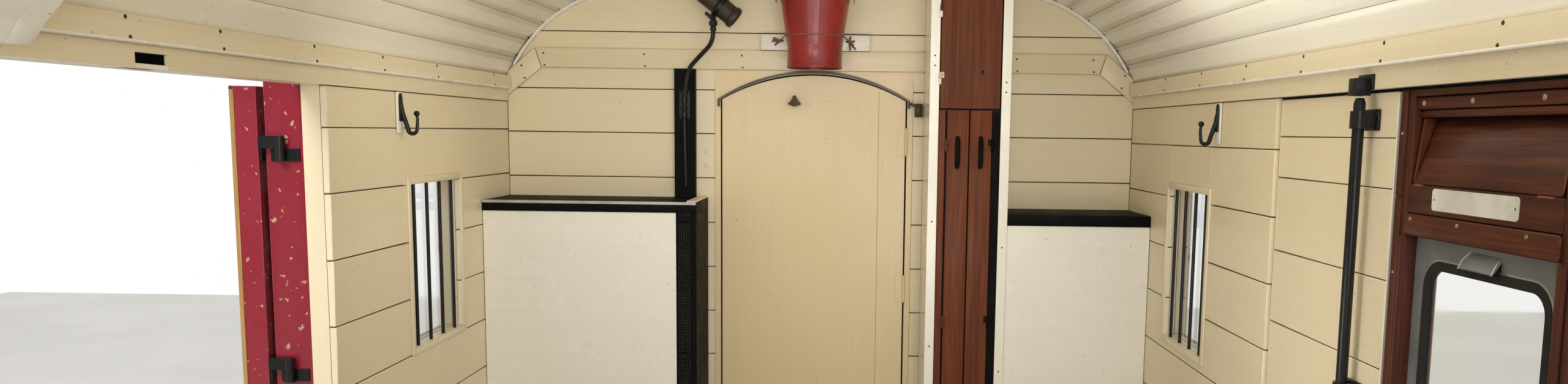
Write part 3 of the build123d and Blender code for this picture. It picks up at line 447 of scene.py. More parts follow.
black_iron = metalwork("black_iron", tint(17, 17, 18), tint(76, 68, 58), 0.28, coat=0.06, glint=0.3)
black_paint = metalwork("black_paint", tint(15, 15, 15), tint(60, 55, 50), 0.5, glint=0.08)
dark_pipe = metalwork("dark_pipe", tint(58, 52, 46), tint(112, 84, 62), 0.42, 0.3, lumps=0.0016)
bronze = metalwork("dull_bronze", tint(74, 62, 42), tint(150, 124, 76), 0.4, 0.5)
brass = metalwork("brass", tint(176, 142, 104), tint(214, 186, 148), 0.35, 0.3)
steel_screws = metalwork("dark_screws", tint(58, 46, 34), tint(120, 100, 78), 0.45, 0.5)
aluminium = metalwork("sash_aluminium", tint(136, 138, 140), tint(186, 186, 182), 0.42, 0.4, worn=0.05)
silver_strip = metalwork("silver_strip", tint(190, 190, 184), tint(230, 230, 226), 0.3, 0.8)
bucket_red = metalwork("bucket_red", tint(146, 27, 28), tint(84, 22, 20), 0.3, coat=0.3, lumps=0.0008)
cream_metal = metalwork("cream_metal", tint(214, 202, 168), tint(150, 128, 92), 0.32, worn=0.2)
white_enamel = metalwork("white_enamel", tint(236, 234, 226), tint(150, 142, 128), 0.2, coat=0.4, lumps=0.0002)
rubber = metalwork("black_rubber", tint(24, 24, 25), tint(58, 58, 58), 0.6)
print(len(bpy.data.materials), "finishes with the metals")

# %% [markdown]
# ### Glass, canvas, twine and floor
# The glass is clear with faint smears, which show as patches of less polish. The roof's canvas
# has a fine crossed weave, the twine a fine twist, and the floor under the coach is pale.

# %% Glass, canvas, twine and floor
glass = Finish("window_glass", 0.02)
glass.shader.inputs["Transmission Weight"].default_value = 1.0
glass.shader.inputs["IOR"].default_value = 1.45
smears = glass.noise(3.0, 5.0, warp=0.6)
glass.colour(glass.ramp(smears, (0.3, tint(248, 251, 249)), (0.7, tint(254, 255, 254))))
glass.rough(glass.ramp(smears, (0.35, 0.02), (0.8, 0.12)))
clear_glass = glass.material

canvas = Finish("roof_canvas", 0.85)
weave = canvas.mix(0.5, canvas.noise(260.0, 1.0, (1, 0.2, 1)), canvas.noise(260.0, 1.0, (0.2, 1, 1)))
weather = canvas.ramp(canvas.noise(1.4, 5.0), (0.3, tint(78, 80, 82)), (0.7, tint(116, 116, 114)))
threads = canvas.ramp(weave, (0.35, tint(70, 72, 74)), (0.65, tint(122, 122, 120)))
canvas.colour(canvas.mix(0.6, weather, threads))
canvas.relief(0.002, weave)
roof_canvas = canvas.material

string = Finish("brown_twine", 0.85)
twist = string.noise(420.0, 2.0)
string.colour(string.ramp(twist, (0.35, tint(92, 70, 46)), (0.65, tint(158, 128, 90))))
string.relief(0.001, twist)
twine = string.material

ground = Finish("pale_floor", 0.9)
ground.colour(ground.ramp(ground.noise(0.8, 3.0), (0.3, tint(226, 224, 219)), (0.7, tint(236, 234, 229))))
pale_floor = ground.material
print(len(bpy.data.materials), "finishes in all")

# %% [markdown]
# ## A helper for shapes
# Most of a coach is sawn boards, turned metal and bent rod. One helper class gathers such
# forms into one mesh: a flat outline carried along an axis with its edges eased, a profile
# turned about an axis, and a round section carried along a path. When the piece is done it
# rides on its body and replaces the solids it stands for.

# %% A helper for shapes


def oblong(first, second):
    """The four corners of a rectangle, from two (low, high) pairs."""
    return [(first[0], second[0]), (first[1], second[0]), (first[1], second[1]), (first[0], second[1])]


class Form:
    """Gathers the boards, turnings and rods of one piece, in the coach's own metres."""

    def __init__(self):
        self.mesh = bmesh.new()
        self.finishes = []
        self.current = 0

    def use(self, finish):
        """Later forms take this finish."""
        if finish not in self.finishes:
            self.finishes.append(finish)
        self.current = self.finishes.index(finish)
        return self

    def face(self, corners):
        """One face in the current finish."""
        made = self.mesh.faces.new(corners)
        made.material_index = self.current
        return made

    def slab(self, outline, axis, low, high, edge=0.0, steps=1):
        """A flat outline carried along one axis. Its points lack that axis."""
        def corner(point, along):
            spot = list(point)
            spot.insert(axis, along)
            return self.mesh.verts.new(spot)
        near = [corner(point, low) for point in outline]
        far = [corner(point, high) for point in outline]
        faces = [self.face(near[::-1]), self.face(far)]
        for i in range(len(outline)):
            j = (i + 1) % len(outline)
            faces.append(self.face((near[i], near[j], far[j], far[i])))
        if edge:
            lines = list(dict.fromkeys(line for made in faces for line in made.edges))
            bmesh.ops.bevel(self.mesh, geom=lines, offset=edge, segments=steps, profile=0.5,
                            affect="EDGES", clamp_overlap=True, material=self.current)
        return self

    def box(self, x, y, z, edge=0.0, steps=1):
        """A squared block from three (low, high) pairs."""
        return self.slab(oblong(x, y), 2, z[0], z[1], edge, steps)

    def turned(self, profile, centre, toward=(0, 0, 1), steps=24):
        """A profile of (radius, height) pairs turned about an axis through a centre."""
        turn = Vector((0, 0, 1)).rotation_difference(Vector(toward)).to_matrix()
        rings = []
        for radius, height in profile:
            count = steps if radius > 1e-6 else 1
            ring = []
            for k in range(count):
                angle = 2 * math.pi * k / steps
                spot = Vector((radius * math.cos(angle), radius * math.sin(angle), height))
                ring.append(self.mesh.verts.new(Vector(centre) + turn @ spot))
            rings.append(ring)
        for first, second in zip(rings, rings[1:]):
            for k in range(steps):
                n = (k + 1) % steps
                if len(first) > 1 and len(second) > 1:
                    self.face((first[k], first[n], second[n], second[k]))
                elif len(second) > 1:
                    self.face((first[0], second[n], second[k]))
                elif len(first) > 1:
                    self.face((first[k], first[n], second[0]))
        return self

    def rod(self, points, radius, steps=10, flat=1.0):
        """A round or flattened section carried along a path of points, with closed ends."""
        points = [Vector(point) for point in points]
        radii = list(radius) if hasattr(radius, "__len__") else [radius] * len(points)
        side = None
        rings = []
        for i, point in enumerate(points):
            ahead = points[min(i + 1, len(points) - 1)] - points[max(i - 1, 0)]
            ahead.normalize()
            if side is None:
                start = Vector((0, 1, 0)) if abs(ahead.y) < 0.9 else Vector((1, 0, 0))
                side = ahead.cross(start).normalized()
            side = (side - ahead * side.dot(ahead)).normalized()
            other = ahead.cross(side)
            ring = []
            for k in range(steps):
                angle = 2 * math.pi * k / steps
                reach = side * math.cos(angle) + other * math.sin(angle) * flat
                ring.append(self.mesh.verts.new(point + reach * radii[i]))
            rings.append(ring)
        for first, second in zip(rings, rings[1:]):
            for k in range(steps):
                n = (k + 1) % steps
                self.face((first[k], first[n], second[n], second[k]))
        self.face(rings[0][::-1])
        self.face(rings[-1])
        return self

    def hoop(self, outer, inner, axis, low, high):
        """A flat frame between two outlines of equal length, carried along one axis."""
        def loop(outline, along):
            return [self.mesh.verts.new(point[:axis] + (along,) + point[axis:]) for point in outline]
        loops = [loop(outer, low), loop(inner, low), loop(outer, high), loop(inner, high)]
        for k in range(len(outer)):
            n = (k + 1) % len(outer)
            for first, second in ((0, 1), (2, 3), (0, 2), (1, 3)):
                self.face((loops[first][k], loops[first][n], loops[second][n], loops[second][k]))
        return self

    def moved(self, matrix):
        """Carries all that was gathered to another place."""
        bmesh.ops.transform(self.mesh, matrix=matrix, verts=self.mesh.verts)
        return self

    def done(self, name, finish, slot, body=MAIN_BODY, replaces=(), sharp=38):
        """Turns what was gathered into a piece that rides on its body."""
        bmesh.ops.recalc_face_normals(self.mesh, faces=self.mesh.faces)
        data = bpy.data.meshes.new(name)
        self.mesh.to_mesh(data)
        self.mesh.free()
        for kind in self.finishes or [finish]:
            data.materials.append(kind)
        data.polygons.foreach_set("use_smooth", [True] * len(data.polygons))
        data.set_sharp_from_angle(angle=math.radians(sharp))
        piece = bpy.data.objects.new(name, data)
        bpy.context.scene.collection.objects.link(piece)
        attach(piece, body)
        if replaces:
            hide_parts(*replaces)
        return piece


print("one helper for all shapes")

# %% [markdown]
# ### Clipping and dressing
# A board that runs into the curved roof has to be cut to it. That could be a boolean modifier,
# but a flat outline is simple to clip before it gets its thickness, and the result stays clean.
# A solid that is already right is only dressed: it takes a finish and keeps its mesh.

# %% Clipping and dressing


def clipped(outline, inside):
    """An outline cut to the part that lies inside a convex one, both as (x, z) points."""
    result = list(outline)
    for i in range(len(inside)):
        ax, az = inside[i]
        bx, bz = inside[(i + 1) % len(inside)]
        kept = []
        for j in range(len(result)):
            p, q = result[j], result[(j + 1) % len(result)]
            sp = (bx - ax) * (p[1] - az) - (bz - az) * (p[0] - ax)
            sq = (bx - ax) * (q[1] - az) - (bz - az) * (q[0] - ax)
            if sp >= 0:
                kept.append(p)
            if sp * sq < 0:
                share = sp / (sp - sq)
                kept.append((p[0] + (q[0] - p[0]) * share, p[1] + (q[1] - p[1]) * share))
        result = kept
        if len(result) < 3:
            return []
    return result


def dressed(node, finish):
    """A solid that keeps its form and only takes a finish."""
    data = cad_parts[node].data
    data.materials.clear()
    data.materials.append(finish)


print(len(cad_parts), "solids to dress")

# %% [markdown]
# ## The roof
# The ceiling is narrow tongued boards that run along the coach and follow two tight shoulder
# arcs and one flat crown arc. One bent sheet with stripes painted on would be less work, but it
# looks flat from the side. So each board is a short run of the curve with its edges eased, and
# the joints are real grooves.

# %% The roof's curve
CROWN_R = 2.7
SHOULDER_R = 0.62
SHOULDER_SPAN = 0.35
ROOF_T = 0.06
ROOF_BACK = BACK_Y + 0.06
EAVES = LINTEL + 0.1005
CEILING_PITCH = 0.088
crown_half = WALL - SHOULDER_SPAN
crown_slope = math.asin(crown_half / CROWN_R)
shoulder_x = crown_half - SHOULDER_R * math.sin(crown_slope)
shoulder_z = EAVES - math.sqrt(SHOULDER_R ** 2 - (WALL - shoulder_x) ** 2)
crown_z = shoulder_z - (CROWN_R - SHOULDER_R) * math.cos(crown_slope)


def roof_point(slope, out=0.0):
    """The roof's (x, z) where its surface leans by a slope from level, set out by a distance."""
    side = 1 if slope >= 0 else -1
    lean = abs(slope)
    if lean <= crown_slope:
        return (side * (CROWN_R + out) * math.sin(lean), crown_z + (CROWN_R + out) * math.cos(lean))
    reach = SHOULDER_R + out
    return (side * (shoulder_x + reach * math.sin(lean)), shoulder_z + reach * math.cos(lean))


def eaves_slope(height, out=0.0):
    """The slope at which the shoulder comes down to a height."""
    return math.acos((height - shoulder_z) / (SHOULDER_R + out))


def roof_slopes(pitch, last):
    """Slopes at equal steps along the ceiling's curve, from one wall to the other."""
    crown_run = CROWN_R * crown_slope
    run = crown_run + SHOULDER_R * (last - crown_slope)
    count = int(round(run / pitch))
    slopes = []
    for number in range(-count, count + 1):
        along = abs(number) * run / count
        lean = along / CROWN_R if along <= crown_run else crown_slope + (along - crown_run) / SHOULDER_R
        slopes.append(math.copysign(lean, number))
    return slopes


last_slope = eaves_slope(EAVES)
joints = roof_slopes(CEILING_PITCH, last_slope)
print(len(joints) - 1, "ceiling boards, crown at", round(crown_z + CROWN_R, 3))

# %% [markdown]
# ### The ceiling boards
# No two boards lie quite level, so each drops by its own small chance amount. A seeded source
# of chance gives the same ceiling on every run.

# %% The ceiling boards
BOARD_T = 0.014
UNEVEN = 0.0006
ceiling = Form()
for left, right in zip(joints, joints[1:]):
    drop = chance.uniform(0.0, UNEVEN)
    gap = (right - left) * 0.005
    slopes = [left + gap + (right - left - 2 * gap) * step / 4 for step in range(5)]
    inner = [roof_point(slope, drop) for slope in slopes]
    outer = [roof_point(slope, BOARD_T) for slope in reversed(slopes)]
    ceiling.slab(inner + outer, 1, OPEN_Y, END_Y - 0.0005, 0.0009)
ceiling.done("ceiling_boards", ceiling_paint, "white_board")
print("the ceiling runs from y", OPEN_Y, "to", END_Y)

# %% [markdown]
# ### Hoops and canvas
# Over the boards lie the hoops and, on top of them, painted canvas. Nothing of the hoops shows
# but the cut end of the roof, so both are plain layers: one strip of the curve each, carried
# along the coach.

# %% Hoops and canvas
CANVAS_T = 0.008
LAYER_STEPS = 60


def roof_layer(inside, outside, back, name, finish, slot, replaces=()):
    """One layer of the roof's thickness, as a strip carried along the coach."""
    first, last = eaves_slope(EAVES, inside), eaves_slope(EAVES, outside)
    turns = [2 * k / LAYER_STEPS - 1 for k in range(LAYER_STEPS + 1)]
    inner = [roof_point(first * turn, inside) for turn in turns]
    outer = [roof_point(-last * turn, outside) for turn in turns]
    return Form().slab(inner + outer, 1, OPEN_Y, back).done(name, finish, slot, replaces=replaces)


roof_layer(BOARD_T, ROOF_T - CANVAS_T, ROOF_BACK - 0.004, "roof_hoops", cream_across, "white_board",
           ("roof_crown", "roof_shoulders"))
roof_layer(ROOF_T - CANVAS_T, ROOF_T, ROOF_BACK, "roof_canvas", roof_canvas, "black_board")
print("roof outside up to", round(roof_point(0, ROOF_T)[1], 3))

# %% [markdown]
# ## Boarded walls
# The end wall and the side walls are lined with level boards. Their joints don't line up from
# wall to wall, so each wall has its own short list of joint heights. A board that meets the
# roof is clipped to the roof's curve before it gets its thickness. Behind the boards lie a
# plain core and the outside sheet.

# %% The end wall
LINING_T = 0.018
SHEET_T = 0.012
JOINT = 0.0016
WALL_FOOT = 0.16
ABOVE_ROOF = 2.7
BOARD_SHIFT = 0.0008
roof_line = [roof_point(last_slope * (1 - 2 * k / 64)) for k in range(65)]
roof_line = [(WALL, 0.1)] + roof_line + [(-WALL, 0.1)]
end_joints = (ABOVE_ROOF, 2.252, 2.015, 1.832, 1.645, 1.455, 1.265, 1.075, 0.885, 0.695, 0.505, 0.315,
              WALL_FOOT)
frame_low, frame_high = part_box("end_door_frame")

end_lining = Form()
for top, foot in zip(end_joints, end_joints[1:]):
    low, high = foot + JOINT, top - JOINT
    shapes = [oblong((-WALL, WALL), (low, high))]
    if high <= frame_high.z:
        shapes = [oblong((-WALL, frame_low.x), (low, high)), oblong((frame_high.x, WALL), (low, high))]
    elif low < frame_high.z:
        notch = [(frame_low.x, low), (frame_low.x, frame_high.z), (frame_high.x, frame_high.z),
                 (frame_high.x, low)]
        shapes = [[(-WALL, low)] + notch + [(WALL, low), (WALL, high), (-WALL, high)]]
    for shape in shapes:
        board = clipped(shape, roof_line)
        if board:
            end_lining.slab(board, 1, END_Y + chance.uniform(0, BOARD_SHIFT), END_Y + LINING_T, 0.002)
end_lining.done("end_wall_boards", cream_across, "cream_board",
                replaces=("end_wall_head", "end_wall_left", "end_wall_right"))
for name, near, far, finish, slot in (
    ("end_wall_core", END_Y + LINING_T, BACK_Y - SHEET_T, bearer_wood, "frame_timber"),
    ("end_wall_outside", BACK_Y - SHEET_T, BACK_Y, crimson_boards, "crimson_panel"),
):
    sheet = Form()
    for x, z in (
        ((-WALL, frame_low.x), (WALL_FOOT, frame_high.z)),
        ((frame_high.x, WALL), (WALL_FOOT, frame_high.z)),
        ((-WALL, WALL), (frame_high.z, ABOVE_ROOF)),
    ):
        sheet.slab(clipped(oblong(x, z), roof_line), 1, near, far)
    sheet.done(name, finish, slot)
print("end wall boards in", len(end_joints) - 1, "courses")

# %% [markdown]
# ### The side walls
# Each side wall has a doorway in the middle and a small window beyond it. A course of boards
# stops at both, so a wall patch that meets the window is split into the patches around it. That
# is simpler than cutting holes afterwards, and it leaves clean, separate boards.

# %% The side walls' boards
CORE_X = WALL + 0.02
PANEL_X = OUTSIDE - 0.008
side_name = {-1: "left", 1: "right"}
stretches = ((OPEN_Y, NEAR_JAMB), (FAR_JAMB, BACK_Y))
side_joints = {
    -1: (LINTEL, 1.84, 1.655, 1.465, 1.275, 1.085, 0.895, 0.705, 0.515, 0.325, WALL_FOOT),
    1: (LINTEL, 1.814, 1.625, 1.435, 1.245, 1.055, 0.865, 0.675, 0.485, 0.295, WALL_FOOT),
}
pane_low, pane_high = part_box("window_panes")
window_y = (pane_low.y, pane_high.y)
window_z = (pane_low.z, pane_high.z)


def across(side, near, far):
    """A (low, high) pair across the coach, from two distances out from its middle."""
    return sorted((side * near, side * far))


def around_window(y, z):
    """A wall patch as one or more (y, z) patches that leave the window open."""
    wy, wz = window_y, window_z
    if y[1] <= wy[0] or y[0] >= wy[1] or z[1] <= wz[0] or z[0] >= wz[1]:
        return [(y, z)]
    patches = [((y[0], wy[0]), z), ((wy[1], y[1]), z)]
    if z[0] < wz[0]:
        patches.append((wy, (z[0], wz[0])))
    if z[1] > wz[1]:
        patches.append((wy, (wz[1], z[1])))
    return patches


for side, courses in side_joints.items():
    lining = Form()
    for stretch in stretches:
        for top, foot in zip(courses, courses[1:]):
            for y, z in around_window(stretch, (foot + JOINT, top - JOINT)):
                lining.box(across(side, WALL + chance.uniform(0, BOARD_SHIFT), CORE_X), y, z, 0.002)
    lining.done("side_boards_" + side_name[side], cream_along, "cream_board",
                replaces=("wall_" + side_name[side],))
    for name, inner, outer, finish, slot in (
        ("side_core_", CORE_X, PANEL_X, cream_upright, "cream_board"),
        ("side_outside_", PANEL_X, OUTSIDE - 0.0006, crimson_boards, "crimson_panel"),
    ):
        sheet = Form()
        for stretch in stretches:
            for y, z in around_window(stretch, (WALL_FOOT, LINTEL)):
                sheet.box(across(side, inner, outer), y, z)
        sheet.done(name + side_name[side], finish, slot)
print("window opening", round(window_y[1] - window_y[0], 3), "by", round(window_z[1] - window_z[0], 3))

# %% [markdown]
# ### Beads outside and around the windows
# Outside, half-round beads cover the joints of the panels: three level belts and uprights
# between them. Flat trim frames each window on both faces of the wall. These are thin strips
# that lie on the sheet, so blocks with well eased edges do.

# %% Beads outside and around the windows
BELT = 0.032
STRIP_HALF = 0.018
BEAD_STOP = 0.076
belt_feet = (0.22, 1.04, 1.38)
upright_runs = ((0.252, 1.04), (1.072, 1.38), (1.412, LINTEL))
for side, name in side_name.items():
    beading = Form()
    for near, far in ((OPEN_Y, NEAR_JAMB - BEAD_STOP), (FAR_JAMB + BEAD_STOP, BACK_Y)):
        for foot in belt_feet:
            belt = (foot, foot + BELT)
            for y, z in around_window((near, far), belt):
                if z == belt:
                    beading.box(across(side, OUTSIDE, OUTSIDE + 0.012), y, z, 0.005, 2)
        count = 3 if near > 0 else 2
        for number in range(count + 1):
            y = near + STRIP_HALF + (far - near - 2 * STRIP_HALF) * number / count
            if not window_y[0] - 0.03 < y < window_y[1] + 0.03:
                for z in upright_runs:
                    strip = (y - STRIP_HALF, y + STRIP_HALF)
                    beading.box(across(side, OUTSIDE, OUTSIDE + 0.010), strip, z, 0.004, 2)
    beading.done("outside_beading_" + name, crimson_boards, "crimson_panel")
    trim = Form()
    for inner, outer, wide in ((WALL - 0.006, WALL + 0.004, 0.024), (OUTSIDE - 0.004, OUTSIDE + 0.011, 0.03)):
        for y in ((window_y[0] - wide, window_y[0]), (window_y[1], window_y[1] + wide)):
            trim.box(across(side, inner, outer), y, (window_z[0] - wide, window_z[1] + wide), 0.004, 2)
        for z in ((window_z[0] - wide, window_z[0]), (window_z[1], window_z[1] + wide)):
            trim.box(across(side, inner, outer), window_y, z, 0.004, 2)
    trim.done("window_trim_" + name, cream_upright, "cream_board")
print(len(belt_feet), "belts on each side")

# %% [markdown]
# ## Solids that keep their form
# Some solids already have the right form: turned hinges, posts, bars, panes, the arched door
# and its frame. Modelling them again would add nothing, so each only takes its finish.

# %% Solids that keep their form
kept_forms = (
    (cantrail_paint, ("cantrails",)),
    (cream_along, ("side_cornices",)),
    (white_across, ("roof_bead",)),
    (white_along, ("shoulder_casing",)),
    (white_upright, ("cupboard_posts", "cupboard_carcase")),
    (floor_wood, ("floor_boards",)),
    (sill_wood, ("side_sills",)),
    (bearer_wood, ("cross_bearers",)),
    (black_paint, ("gangway_surround", "corner_post")),
    (crimson_worn, ("hinge_posts",)),
    (door_paint, ("end_door", "end_door_frame", "end_door_hinges")),
    (olive_bead, ("door_head_bead",)),
    (clear_glass, ("window_panes", "left_droplight_pane", "right_droplight_pane")),
    (black_iron, ("window_bars", "hinge_brackets", "left_boarded_leaf_hinges", "left_droplight_leaf_hinges",
                  "right_boarded_leaf_hinges", "right_droplight_leaf_hinges")),
)
for finish, nodes in kept_forms:
    for node in nodes:
        dressed(node, finish)
print(sum(len(nodes) for _, nodes in kept_forms), "solids keep their form")

# %% [markdown]
# ## Screws, nails and plugs
# Nearly all of the coach's ironwork and trim is held by slotted screws, and years of paint have
# left them dark. The slot is what the eye looks for, so a screw is a low dome in two halves
# with the slot open between them. A nail or a plug is a low round head.

# %% Screws, nails and plugs


def screw(form, centre, toward, radius=0.0042, slot_angle=0.4, proud=0.0012):
    """A slotted screw head: a low dome in two halves with the slot between them."""
    outward = Vector(toward).normalized()
    side = outward.orthogonal().normalized()
    side = Matrix.Rotation(slot_angle, 3, outward) @ side
    other = outward.cross(side)
    centre = Vector(centre)
    for half in (-1, 1):
        rim, dome = [], []
        for k in range(9):
            angle = math.pi * k / 8
            flat = side * math.cos(angle) + other * half * (math.sin(angle) * 0.82 + 0.18)
            rim.append(form.mesh.verts.new(centre - outward * 0.0006 + flat * radius))
            dome.append(form.mesh.verts.new(centre + outward * proud + flat * radius * 0.72))
        form.face(dome)
        form.face(rim[::-1])
        for k in range(9):
            n = (k + 1) % 9
            form.face((rim[k], rim[n], dome[n], dome[k]))
    return form


def disc(form, centre, toward, radius, height, steps=12):
    """A low round head or plug with an eased rim."""
    profile = [(0, -0.001), (radius, -0.001), (radius, height * 0.5), (radius * 0.75, height), (0, height)]
    return form.turned(profile, centre, toward, steps)


def any_turn():
    """The chance angle at which a screw's slot came to rest."""
    return chance.uniform(0, 3)


print("a screw head is", 2 * 11, "faces, a round head", 4 * 12)

# %% [markdown]
# ## Cornices and beads
# A cornice board covers the joint between the roof and each wall. On the end wall it is level
# over the door and drops at both ends to meet the side cornices, with mitred joints there, so
# it is made as three boards. The boxed casing in the left corner and the bead along the end
# wall stop short in the solids, so two small pieces carry them on.

# %% Cornices and beads
CORNICE_T = 0.022
CORNICE_FACE = WALL - CORNICE_T
MITRE = 0.001
MOULDING_Z = 2.0105
CASING_END = (-1.0248, -0.962)
CASING = ((0.022, 0.018), (0.075, 0.018), (0.098, 0.054), (0.140, 0.100), (0.500, 0.460), (0.022, 0.542))
level_low, level_high, drop_low, drop_high = 2.10, 2.18, 1.978, 2.074
mitre_low, mitre_high = 1.17, 1.195
inner_low, inner_high = mitre_low - MITRE, mitre_high - MITRE
outer_low, outer_high = mitre_low + MITRE, mitre_high + MITRE
end_boards = Form()
for outline in (
    [(-inner_low, level_low), (inner_low, level_low), (inner_high, level_high), (-inner_high, level_high)],
    [(outer_low, level_low), (WALL, drop_low), (WALL, drop_high), (outer_high, level_high)],
    [(-WALL, drop_low), (-outer_low, level_low), (-outer_high, level_high), (-WALL, drop_high)],
):
    end_boards.slab(clipped(outline, roof_line), 1, END_Y - CORNICE_T, END_Y, 0.0025, 2)
end_boards.done("end_cornice_boards", cream_across, "cream_board", replaces=("cornice_end",))

casing_end = Form()
profile = clipped([(inward - WALL, LINTEL + rise) for inward, rise in CASING], roof_line)
casing_end.slab(profile, 1, *CASING_END, 0.002)
casing_end.done("shoulder_casing_end", white_along, "white_board")

moulding = Form()
bead_ends = Form()
upper_slope, lower_slope = eaves_slope(2.238), eaves_slope(2.112)
for side in (-1, 1):
    x = side * (CORNICE_FACE + 0.001)
    moulding.rod([(x, OPEN_Y, MOULDING_Z), (x, END_Y - CORNICE_T, MOULDING_Z)], 0.0042, 8)
    arc = [roof_point(side * (upper_slope + (lower_slope - upper_slope) * k / 8), -0.008) for k in range(9)]
    bead_ends.rod([(x, END_Y - 0.010, z) for x, z in arc], 0.008, 10)
moulding.done("cornice_moulding", white_along, "white_board")
bead_ends.done("roof_bead_ends", white_across, "white_board")
print("end cornice", round(level_high - level_low, 3), "m deep")

# %% [markdown]
# ### Screws and nails
# The screws stand in pairs, one near each edge of the cornice, at the uneven distances that the
# photograph shows. Each ceiling board ends in one nail.

# %% The cornices' screws and the ceiling's nails
screws = Form()
side_rows = {
    1: (1.30, 0.87, 0.446, 0.025, -0.411, -0.856, -1.29, -1.70),
    -1: (1.615, 1.01, 0.57, 0.14, -0.30, -0.63, -1.07, -1.50),
}
for side, row in side_rows.items():
    for y in row:
        for height, shift in ((2.0555, -0.006), (2.0165, 0.006)):
            screw(screws, (side * CORNICE_FACE, y + shift, height), (-side, 0, 0), 0.0052, any_turn())
level_x = (-1.16, -0.74, -0.33, 0.82, 1.14)
level_screws = [(x + shift, z) for x in level_x for z, shift in ((2.158, 0.0), (2.109, 0.004))]
drop_screws = [(1.276, 2.095), (1.262, 2.044), (-1.253, 2.105), (-1.240, 2.054)]
for x, z in level_screws + drop_screws:
    screw(screws, (x, END_Y - CORNICE_T, z), (0, -1, 0), 0.0046, any_turn())
screws.done("cornice_screws", steel_screws, "black_iron")

nails = Form()
for left, right in zip(joints, joints[1:]):
    slope = left + 0.16 * (right - left)
    x, z = roof_point(slope)
    disc(nails, (x, END_Y - CORNICE_T, z), (-math.sin(slope), 0, -math.cos(slope)), 0.0042, 0.0016, 8)
nails.done("ceiling_end_nails", black_paint, "black_iron")
print(2 * sum(len(row) for row in side_rows.values()) + len(level_screws + drop_screws), "cornice screws")

# %% [markdown]
# ## The fire bucket
# The bucket is spun sheet with a straight foot, a flared body, a wired rim, two ears and a
# folded seam. One profile turned about an upright axis gives the body, with the rim's wire
# rolled into it. It could be a bent sheet with a thickness modifier, but the rim and the foot
# need their own curves. The wire bail lies dropped over the front of the rim.

# %% The fire bucket
FOOT_R, FOOT_H, TOP_R, BUCKET_H = 0.112, 0.095, 0.158, 0.37
EAR_H = 0.325
bucket_low, bucket_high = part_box("fire_bucket")
bucket_x = (bucket_low.x + bucket_high.x) / 2
bucket_y = (bucket_low.y + bucket_high.y) / 2
bucket_z = bucket_low.z
bucket = Form()
bucket.turned([
    (0, 0.030), (FOOT_R - 0.006, 0.030), (FOOT_R - 0.005, 0.001), (FOOT_R - 0.002, 0.0), (FOOT_R, 0.002),
    (FOOT_R, 0.010), (FOOT_R - 0.0015, 0.014), (FOOT_R - 0.001, FOOT_H - 0.010),
    (FOOT_R + 0.001, FOOT_H - 0.004), (FOOT_R + 0.001, FOOT_H + 0.002),
    (FOOT_R + 0.0008, FOOT_H + 0.006), (TOP_R - 0.005, BUCKET_H - 0.014),
    (TOP_R, BUCKET_H - 0.011), (TOP_R + 0.002, BUCKET_H - 0.006), (TOP_R + 0.001, BUCKET_H - 0.001),
    (TOP_R - 0.004, BUCKET_H), (TOP_R - 0.008, BUCKET_H - 0.004), (TOP_R - 0.009, BUCKET_H - 0.010),
    (FOOT_R - 0.003, FOOT_H), (FOOT_R - 0.004, 0.036), (0, 0.036),
], (bucket_x, bucket_y, bucket_z), steps=64)
seam_x = bucket_x + 0.02
bucket.rod([
    (seam_x, bucket_y - FOOT_R - 0.0002, bucket_z + 0.012),
    (seam_x, bucket_y - FOOT_R - 0.0004, bucket_z + FOOT_H),
    (seam_x + 0.012, bucket_y - TOP_R + 0.006, bucket_z + BUCKET_H - 0.02),
], 0.0022, 6, 0.6)
for side in (-1, 1):
    x = bucket_x + side * (TOP_R - 0.002)
    ear_z = (bucket_z + 0.262, bucket_z + 0.362)
    bucket.box(sorted((x, x + side * 0.003)), (bucket_y - 0.016, bucket_y + 0.016), ear_z, 0.001)
    for shift in (-0.009, 0.009):
        disc(bucket, (x + side * 0.002, bucket_y + shift, bucket_z + EAR_H), (side, 0, 0), 0.004, 0.002)
bucket.done("fire_bucket_body", bucket_red, "red_metal", replaces=("fire_bucket",))

bail = Form()
lift = math.radians(10)
arc = []
for k in range(25):
    angle = math.pi * k / 24
    reach = (TOP_R + 0.006) * math.sin(angle)
    height = BUCKET_H + 0.003 - 0.016 * (1 - math.sin(angle)) + reach * math.sin(lift) * 0.2
    x, y = bucket_x - (TOP_R + 0.003) * math.cos(angle), bucket_y - reach * math.cos(lift)
    arc.append((x, y, bucket_z + height))
bail.rod(arc, 0.0035, 8)
bail.done("bucket_bail", black_iron, "black_iron")
print("bucket", round(bucket_high.z - bucket_low.z, 3), "m tall")

# %% [markdown]
# ### Batten and twine
# The bucket stands against a white batten. Twine runs round it just above the foot, from a knot
# on the left to a knot on the right. Twine has no stiffness of its own to model, so each strand
# is a round rod along a few points, and a knot is a round head with bent ends.

# %% Batten and twine


def like_solid(node, edge, steps=1):
    """A block with eased edges that fills a solid's own box."""
    low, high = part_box(node)
    return Form().box((low.x, high.x), (low.y, high.y), (low.z, high.z), edge, steps)


